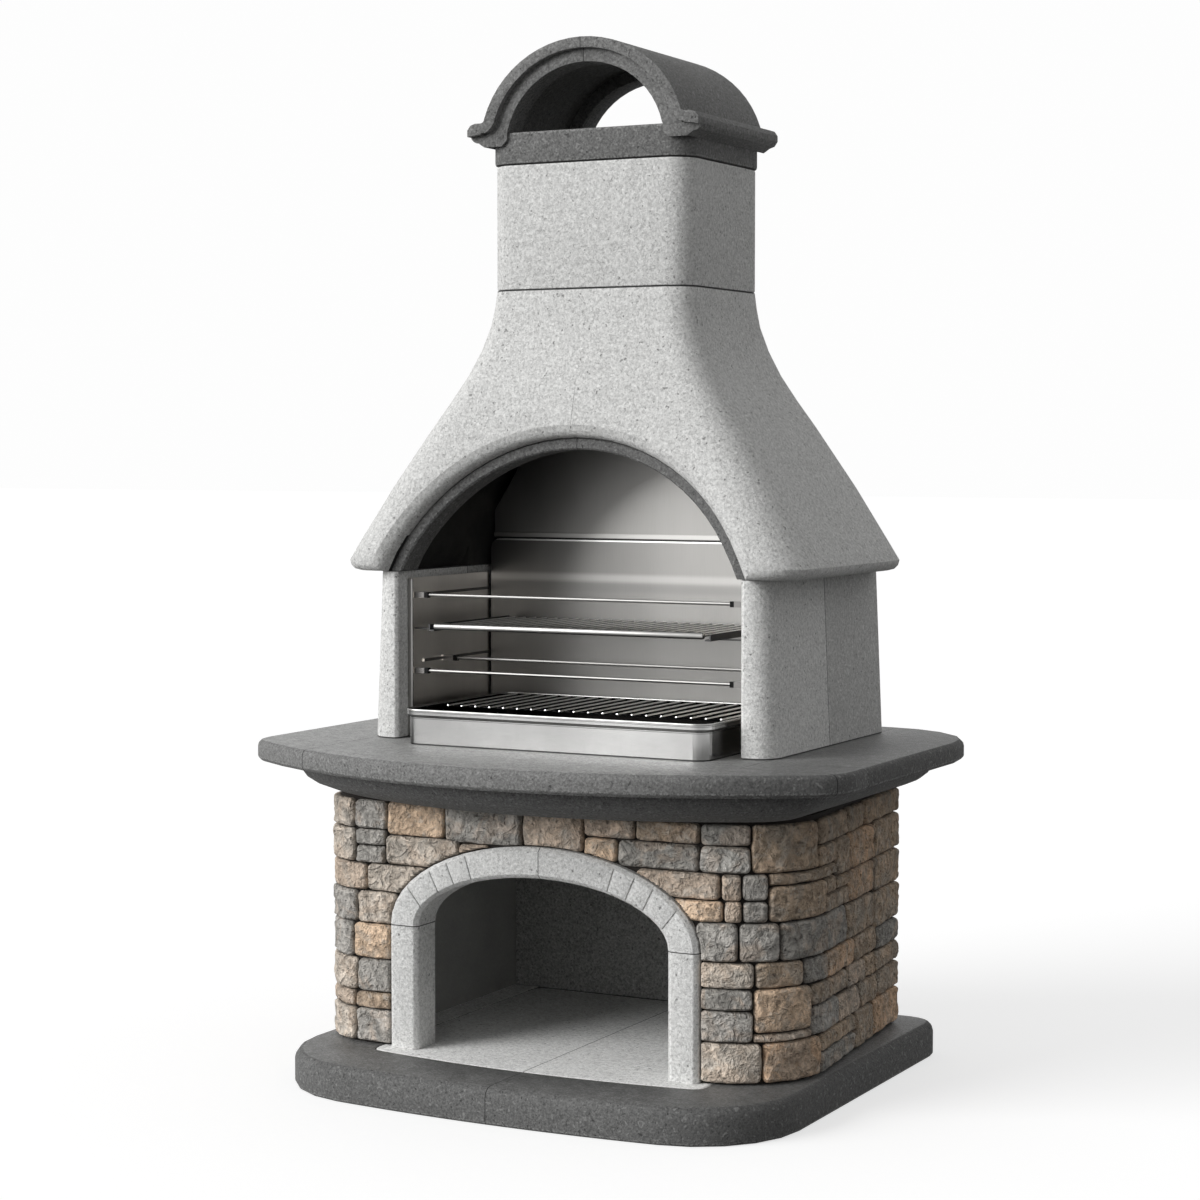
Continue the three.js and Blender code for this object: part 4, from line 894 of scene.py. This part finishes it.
def close_behind(mesh, hollow_shade):
    """A skirt round the edge of a stone, down into the wall, and its back."""
    outer = [e for e in mesh.edges if e.is_boundary]
    for v in bmesh.ops.extrude_edge_only(mesh, edges=outer)["geom"]:
        if isinstance(v, bmesh.types.BMVert):
            v.co.z = -STONE_ROOT
            # Painted shade over the whole skirt
            v[hollow_shade] = 1
    bmesh.ops.holes_fill(mesh, edges=[e for e in mesh.edges if e.is_boundary], sides=0)


def stone_mesh(face, low_along, high_along, low, high, seed):
    """One split stone on the unrolled wall: a grid whose edge rolls back to the wall, then bent round it."""
    half = Vector(((high_along - low_along) / 2, (high - low) / 2))
    middle = Vector(((high_along + low_along) / 2, (high + low) / 2))
    corner = min(STONE_CORNER, CORNER_MOST * min(half))
    edge = min(STONE_EDGE, EDGE_MOST * min(half))
    mesh = stone_grid(half)
    hollow_shade = mesh.verts.layers.float.new("hollow_shade")
    shift = Vector((seed * 3.7, seed * 1.3, seed * 2.1))
    for v in mesh.verts:
        spread = Vector((math.sin(v.co.x * math.pi / 2), math.sin(v.co.y * math.pi / 2)))
        flat, inward = within_corner(Vector((spread.x * half.x, spread.y * half.y)), half, corner)
        place = middle + flat
        waver = noise.noise_vector(Vector((place.x, place.y, 0)) / WAVER[0] + shift)
        place += Vector((waver.x, waver.y)) * WAVER[1] * min(inward / edge + WAVER_LEAST, 1)
        place, inward = outside_arch(face, place, inward)
        roll = math.sqrt(max(1 - (1 - min(inward / edge, 1)) ** 2, 0))
        rough = split_face(Vector((place.x, place.y, 0)), shift)
        dip = min(max(-rough / HOLLOW_DEPTH, 0), 1)
        # Painted shade: darker where the edge rolls back to the wall and in dips of the face
        v[hollow_shade] = min(max(1 - 1.75 * roll + 0.3 * dip, 0), 1)
        v.co = (place.x, place.y, (STONE_RELIEF + rough) * roll)
    close_behind(mesh, hollow_shade)
    for v in mesh.verts:
        v.co = face.point(v.co.x, v.co.y, v.co.z)
    face_outwards(mesh)
    return mesh


def joined_mesh(parts):
    """Several bmeshes as one, each freed."""
    whole = bmesh.new()
    for part in parts:
        data = bpy.data.meshes.new("part")
        part.to_mesh(data)
        part.free()
        whole.from_mesh(data)
        bpy.data.meshes.remove(data)
    return whole


def add_cladding(side, stones, finish):
    face = WallFace(side)
    first_seed = 1 + (LEFT_SEEDS if side == "left" else 0)
    parts = []
    for seed, (start, end, low, high, tone) in enumerate(stones, first_seed):
        joints = [CHEEK_JOINT if place > CHEEK_START else STONE_JOINT for place in (start, end)]
        part = stone_mesh(
            face,
            start * face.path + joints[0] / 2,
            end * face.path - joints[1] / 2,
            WALL_FOOT + low * WALL_HEIGHT + STONE_JOINT / 2,
            WALL_FOOT + high * WALL_HEIGHT - STONE_JOINT / 2,
            seed,
        )
        tint = part.verts.layers.float_color.new("tone")
        for v in part.verts:
            v[tint] = (*TONES[tone], 1)
        parts.append(part)
    return piece("cladding_" + side, joined_mesh(parts), [finish], "cladding_stone")


def extruded(points, run):
    """A flat outline drawn out along a vector into a closed solid."""
    mesh = bmesh.new()
    face = mesh.faces.new([mesh.verts.new(p) for p in points])
    moved = bmesh.ops.extrude_face_region(mesh, geom=[face], use_keep_orig=True)["geom"]
    bmesh.ops.translate(mesh, vec=run, verts=[v for v in moved if isinstance(v, bmesh.types.BMVert)])
    face_outwards(mesh)
    return mesh


def arch_outline(meeting):
    """The arch's outer edge from its foot up to where the two halves of the wall meet."""
    turns = [i * math.pi / 2 / ARCH_STEPS for i in range(ARCH_STEPS + 1)]
    arch = [(ARCH_HALF * math.cos(t), ARCH_SPRING + ARCH_RISE * math.sin(t)) for t in turns]
    arch = [(x, z) for x, z in arch if x > meeting]
    over = (meeting, ARCH_SPRING + ARCH_RISE * math.sqrt(1 - (meeting / ARCH_HALF) ** 2))
    return [*arch, over] if meeting < 0 else [*arch[:-1], over]


def wall_front(mirror, low, high):
    """The wall over and beside the arch."""
    meeting = mirror * WALL_MEETING
    side = WALL_SPLIT - WALL_GAP
    outline = [(side, low), (ARCH_HALF, low), *arch_outline(meeting), (meeting, high), (side, high)]
    points = [(mirror * x, -WALL_FRONT, z) for x, z in outline]
    return extruded(points, Vector((0, WALL_FRONT - STORE_FRONT, 0)))


def wall_cheek(face, low, high):
    """The wall from beside the arch round the corner to the rear."""
    corner = face.end - face.start
    bends = [face.start + corner * i / CORNER_STEPS for i in range(CORNER_STEPS + 1)]
    plan = [face.point(s, low, 0) for s in [WALL_SPLIT, *bends, face.path]]
    inner = [(STORE_HALF, WALL_REAR), (STORE_HALF, -STORE_FRONT), (WALL_SPLIT, -STORE_FRONT)]
    plan += [Vector((face.mirror * x, y, low)) for x, y in inner]
    return extruded(plan, Vector((0, 0, high - low)))


def add_wall_core(side, finish):
    """The cast wall that carries the stones."""
    face = WallFace(side)
    node = "base_wall_" + side
    low, high = (corner.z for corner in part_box(node))
    whole = joined_mesh([wall_front(face.mirror, low, high), wall_cheek(face, low, high)])
    return piece("wall_core_" + side, whole, [finish], "dark_concrete", replaces=[node])


# Bedding of pale mortar between the store's floor and its side walls, in millimetres
BEDDING_X = (383, 446)
BEDDING_Y = (-205, 409)
BEDDING_TOP = 75.7


def add_bedding(mirror, finish):
    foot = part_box("base_slab_right")[1].z
    (inner, outer), (front, rear) = BEDDING_X, BEDDING_Y
    plan = [(inner, front), (outer, front), (outer, rear), (inner, rear)]
    points = [Vector((mirror * x * MM, y * MM, foot)) for x, y in plan]
    mesh = extruded(points, Vector((0, 0, BEDDING_TOP * MM - foot)))
    side = "right" if mirror > 0 else "left"
    return piece("store_bedding_" + side, mesh, [finish], slots["store_floor_" + side])


# Rolled bead along the top of the tray's rim
BEAD_RADIUS = 2.2 * MM
BEAD_CORNER = TRAY_CORNER - TRAY_WALL / 2
BEAD_STEPS = (64, 10)


def bead_path(share):
    """A point of the rim's middle and the way outwards there, at a share of the way round."""
    quarter, step = divmod(share * 4, 1)
    turn = Matrix.Rotation(quarter * math.pi / 2, 2)
    half = Vector(TRAY_HALF) - Vector((TRAY_WALL / 2, TRAY_WALL / 2))
    reach = Vector((half.y, half.x)) if quarter % 2 else half
    angle = min(step * 2, 1) * math.pi / 2
    outward = Vector((math.cos(angle), math.sin(angle)))
    center = reach - Vector((BEAD_CORNER, BEAD_CORNER))
    run = max(step * 2 - 1, 0) * 2 * center.x
    place = center + outward * BEAD_CORNER - Vector((run, 0))
    return turn @ place, turn @ outward


def add_tray_bead(finish):
    mesh = bmesh.new()
    bmesh.ops.create_grid(mesh, x_segments=BEAD_STEPS[0], y_segments=BEAD_STEPS[1], size=0.5)
    for v in mesh.verts:
        place, outward = bead_path((v.co.x + 0.5) % 1)
        angle = v.co.y * 2 * math.pi
        place += Vector(TRAY_MIDDLE) + outward * BEAD_RADIUS * math.cos(angle)
        v.co = (*place, (TRAY_RIM * MM - BEAD_RADIUS) + BEAD_RADIUS * math.sin(angle))
    bmesh.ops.remove_doubles(mesh, verts=mesh.verts, dist=MERGE_REACH / 2)
    face_outwards(mesh)
    return piece("tray_bead", mesh, [finish], slots["charcoal_tray"], "tray")


# Grates: round bars on two cross wires, in millimetres. Half is half the width that they take up
GRATES = {
    "cooking_grate": {
        "middle": 0,
        "bars": {"half": 310.5, "count": 24, "front": -163, "rear": 170, "level": 960.5, "radius": 2.7},
        "wires": {"half": 327.5, "places": (-21.5, 167.5), "level": 955.8, "radius": 2.3},
    },
    "fire_grate": {
        "middle": 15,
        "bars": {"half": 323, "count": 20, "front": -125, "rear": 176, "level": 787.8, "radius": 2.9},
        "wires": {"half": 352, "places": (-80, 131), "level": 783.1, "radius": 2.3},
    },
}
HANDLE = {"start": (-317, -163, 960.5), "end": (317, -163, 960.5), "radius": 7, "sides": 20}
BAR_SIDES = 12
BAR_ROUNDING = 0.45


def round_bar(start, end, radius, sides=BAR_SIDES):
    """A round bar with rounded ends, in millimetres."""
    start = Vector(start) * MM
    end = Vector(end) * MM
    turn = (end - start).to_track_quat("Z", "Y").to_matrix().to_4x4()
    mesh = bmesh.new()
    bmesh.ops.create_cone(
        mesh,
        cap_ends=True,
        segments=sides,
        radius1=radius * MM,
        radius2=radius * MM,
        depth=(end - start).length,
        matrix=Matrix.Translation((start + end) / 2) @ turn,
    )
    rims = [e for e in mesh.edges if any(len(f.verts) == sides for f in e.link_faces)]
    rounded(mesh, rims, radius * BAR_ROUNDING * MM, 2)
    return mesh


def grate_bars(middle, bars, wires):
    """Evenly spread bars from front to rear, and the wires across them."""
    parts = []
    for i in range(bars["count"]):
        x = middle + bars["half"] * (2 * i / (bars["count"] - 1) - 1)
        ends = [(x, bars[end], bars["level"]) for end in ("front", "rear")]
        parts.append(round_bar(*ends, bars["radius"]))
    for y in wires["places"]:
        ends = [(middle + side * wires["half"], y, wires["level"]) for side in (-1, 1)]
        parts.append(round_bar(*ends, wires["radius"]))
    return joined_mesh(parts)


def add_grate(node, finishes):
    """A grate whose bars are rounder than the frame's own. A handle takes the second finish."""
    bars = grate_bars(**GRATES[node])
    if len(finishes) > 1:
        split = len(bars.faces)
        bars = joined_mesh([bars, round_bar(**HANDLE)])
        bars.faces.ensure_lookup_table()
        for face in bars.faces[split:]:
            face.material_index = 1
    return piece(node + "_bars", bars, finishes, slots[node], nodes[node]["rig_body"], [node])


# Hem along the front edge of a side panel of the lining, in millimetres: its width, thickness and rounding,
# how much shorter it is than the panel, and its place
HEM_WIDTH = 12
HEM_THICKNESS = 6
HEM_RADIUS = 2.2
HEM_SHORTER = 2
HEM_PLACE = 395.8
HEM_SET_BACK = 0.5


def add_liner_hem(mirror, finish):
    low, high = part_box("liner_right")
    mesh = bmesh.new()
    bmesh.ops.create_cube(mesh, size=1)
    length = (high.z - low.z) / MM - HEM_SHORTER
    bmesh.ops.scale(mesh, vec=Vector((HEM_WIDTH, HEM_THICKNESS, length)) * MM, verts=mesh.verts)
    place = Vector((mirror * HEM_PLACE * MM, low.y + HEM_SET_BACK * MM, (low.z + high.z) / 2))
    bmesh.ops.translate(mesh, vec=place, verts=mesh.verts)
    rounded(mesh, mesh.edges[:], HEM_RADIUS * MM, 4)
    side = "right" if mirror > 0 else "left"
    return piece("liner_hem_" + side, mesh, [finish], slots["liner_" + side])


# Stage and light
FLOOR_REACH = 60
FLOOR_DARK = 0.1
FLOOR_PALE = 0.5
FLOOR_GLOW = 0.62
BACKDROP = 0.985
WORLD_LIGHT = 0.47
KEY_LIGHT = 3.0
KEY_AIM = Vector((0.6, 0.75, -0.35))
KEY_SOFTNESS = math.radians(40)


def add_stage():
    floor = Finish("studio_floor")
    shown = floor.shown()
    floor.set(
        Base_Color=floor.mix(shown, (FLOOR_DARK,) * 3, (FLOOR_PALE,) * 3),
        Emission_Color=floor.mix(shown, (0, 0, 0), (FLOOR_GLOW,) * 3),
        Emission_Strength=1,
        Roughness=0.95,
        Specular_IOR_Level=0,
    )
    mesh = bmesh.new()
    bmesh.ops.create_grid(mesh, x_segments=1, y_segments=1, size=FLOOR_REACH)
    data = bpy.data.meshes.new("studio_floor")
    mesh.to_mesh(data)
    mesh.free()
    data.materials.append(floor.material)
    made = bpy.data.objects.new("studio_floor", data)
    bpy.context.scene.collection.objects.link(made)


def add_lights():
    world = bpy.data.worlds.new("studio")
    world.use_nodes = True
    studio = Shader(world.node_tree)
    background = world.node_tree.nodes["Background"]
    studio.feed(background.inputs["Color"], (1, 1, 1))
    level = WORLD_LIGHT + (BACKDROP - WORLD_LIGHT) * studio.shown()
    studio.feed(background.inputs["Strength"], level)
    bpy.context.scene.world = world
    lamp = bpy.data.lights.new("key", "SUN")
    lamp.energy = KEY_LIGHT
    lamp.angle = KEY_SOFTNESS
    key = bpy.data.objects.new("key", lamp)
    key.rotation_mode = "QUATERNION"
    key.rotation_quaternion = KEY_AIM.to_track_quat("-Z", "Y")
    bpy.context.scene.collection.objects.link(key)


bpy.context.scene.view_settings.view_transform = "Standard"
add_camera()
add_lights()
add_stage()

# Dark joints on the castings in millimetres: axis, level, half width, and the levels of other axes that they
# keep between, with a fade
HOOD_JOINTS = [("Z", 1671.85, 1.5), ("X", 0, 0.1, ("Z", 1361, 1500, 60), ("Y", -300, 0, 10))]
CHIMNEY_JOINTS = [("Z", 1671.85, 1.5), ("Z", 1935.85, 1.5)]
FIREBOX_JOINTS = [("Z", 717.2, 2.4), ("Y", 120, 0.7), ("Z", 1077.1, 1.6)]
ARCH_JOINTS = [("Z", 336.35, 0.8), ("X", 0, 0.5)]
SLAB_JOINTS = [("X", 0, 0.6)]
WORKTOP_JOINTS = [
    ("X", -465.15, 0.7),
    ("X", 465.15, 0.7, ("Y", -311, 600, 1)),
    ("Y", -310.15, 0.9, ("X", 464.5, 700, 1)),
]
COLLAR_JOINTS = [("Z", 1935.85, 1.5)]
MIDDLE_JOINT = [("X", 0, 0.5)]

# Castings by the start of their nodes' names: material, tone and joints, and for the dark ones also the level
# and tone of a trowelled top, lighter partly as painted light from above, and how much painted shade darkens
# them towards the right
PALE_CASTINGS = {
    "hood": ("pale_hood", 0.61, HOOD_JOINTS),
    "chimney_section": ("pale_chimney", 0.625, CHIMNEY_JOINTS),
    # Painted light: the pillars are paler than the hood where the hood and the worktop shade them
    "pillar": ("pale_pillar", 0.68, FIREBOX_JOINTS),
    "side_wall": ("pale_side_wall", 0.53, FIREBOX_JOINTS),
    "firebox_rear_wall": ("pale_rear_wall", 0.6, FIREBOX_JOINTS),
    "arch": ("pale_arch", 0.65, ARCH_JOINTS),
    # Partly painted light: the store's floor is paler where the arch shades it
    "store_floor": ("pale_floor", 0.88, SLAB_JOINTS),
}
DARK_CASTINGS = {
    "base_slab": ("dark_slab", 0.13, SLAB_JOINTS, (74.8, 0.17), 0.35),
    # Partly painted light: the store's rear panel is paler than the other dark castings
    "base_rear_panel": ("dark_panel", 0.42, [], None, 0),
    "worktop_cornice": ("dark_cornice", 0.125, [], None, 0.2),
    "worktop": ("dark_worktop", 0.19, WORKTOP_JOINTS, (717, 0.3), 0.55),
    "hood_arch_trim": ("dark_arch", 0.13, MIDDLE_JOINT, None, 0),
    "chimney_collar": ("dark_collar", 0.15, COLLAR_JOINTS, None, 0),
    "cap": ("dark_cap", 0.175, MIDDLE_JOINT, None, 0),
}
# One stainless steel in a tone for each part: the back's is darker as painted shade, and the side lining's
# and the grates' are paler as painted light
BACK_STEEL = (0.235, 0.231, 0.222)
SIDE_STEEL = (0.86, 0.82, 0.77)
TRAY_STEEL = (0.47, 0.468, 0.46)
ROD_STEEL = (0.22, 0.217, 0.21)
HANDLE_STEEL = (0.38, 0.376, 0.365)
GRATE_STEEL = (0.95, 0.94, 0.92)
RUNNER_BLACK = (0.02, 0.02, 0.02)

concrete = {}
for start, (name, tone, seams) in PALE_CASTINGS.items():
    concrete[start] = cast_concrete(name, tone, seams, PALE_MIX)
for start, (name, tone, seams, top, painted_shade_right) in DARK_CASTINGS.items():
    concrete[start] = cast_concrete(name, tone, seams, DARK_MIX, top, painted_shade_right)
soot = sooty_concrete()
stone = stone_finish()
core = wall_core_finish()
metal = {
    "liner_back": brushed("back_steel", BACK_STEEL, roughness=0.36, dark=0.25, surface_marks=back_folds_painted_light),
    "liner": brushed("side_steel", SIDE_STEEL, roughness=0.33, dark=0.3, surface_marks=socket_steel),
    "charcoal_tray": brushed("tray_steel", TRAY_STEEL, roughness=0.22, dark=0.12, surface_marks=tray_wear_and_painted_light),
    "rod": plain_metal("rod_steel", ROD_STEEL, 0.34),
    "handle": plain_metal("handle_steel", HANDLE_STEEL, 0.3),
    "cooking_grate": plain_metal("grate_steel", GRATE_STEEL, 0.3, painted_shade_below=960.6),
    "fire_grate": plain_metal("fire_grate_steel", GRATE_STEEL, 0.3, painted_shade_below=787.8),
    "grate_runner": plain_metal("runner_black", RUNNER_BLACK, 0.45, metallic=0),
}

for side, stones in (("right", RIGHT_STONES), ("left", LEFT_STONES)):
    add_wall_core(side, core)
    add_cladding(side, stones, stone)

for node in slots:
    if node.startswith("base_wall"):
        continue
    casting = best_start(concrete, node)
    if node == "hood":
        soften(node, [concrete["hood"], soot], flue_faces)
    elif casting:
        soften(node, [concrete[casting]])
    elif node == "cooking_grate":
        add_grate(node, [metal[node], metal["handle"]])
    elif node == "fire_grate":
        add_grate(node, [metal[node]])
    else:
        data = nodes[node].data
        data.materials.clear()
        data.materials.append(metal[best_start(metal, node)])

add_tray_bead(metal["handle"])
for mirror in (-1, 1):
    add_liner_hem(mirror, metal["handle"])
    add_bedding(mirror, concrete["store_floor"])
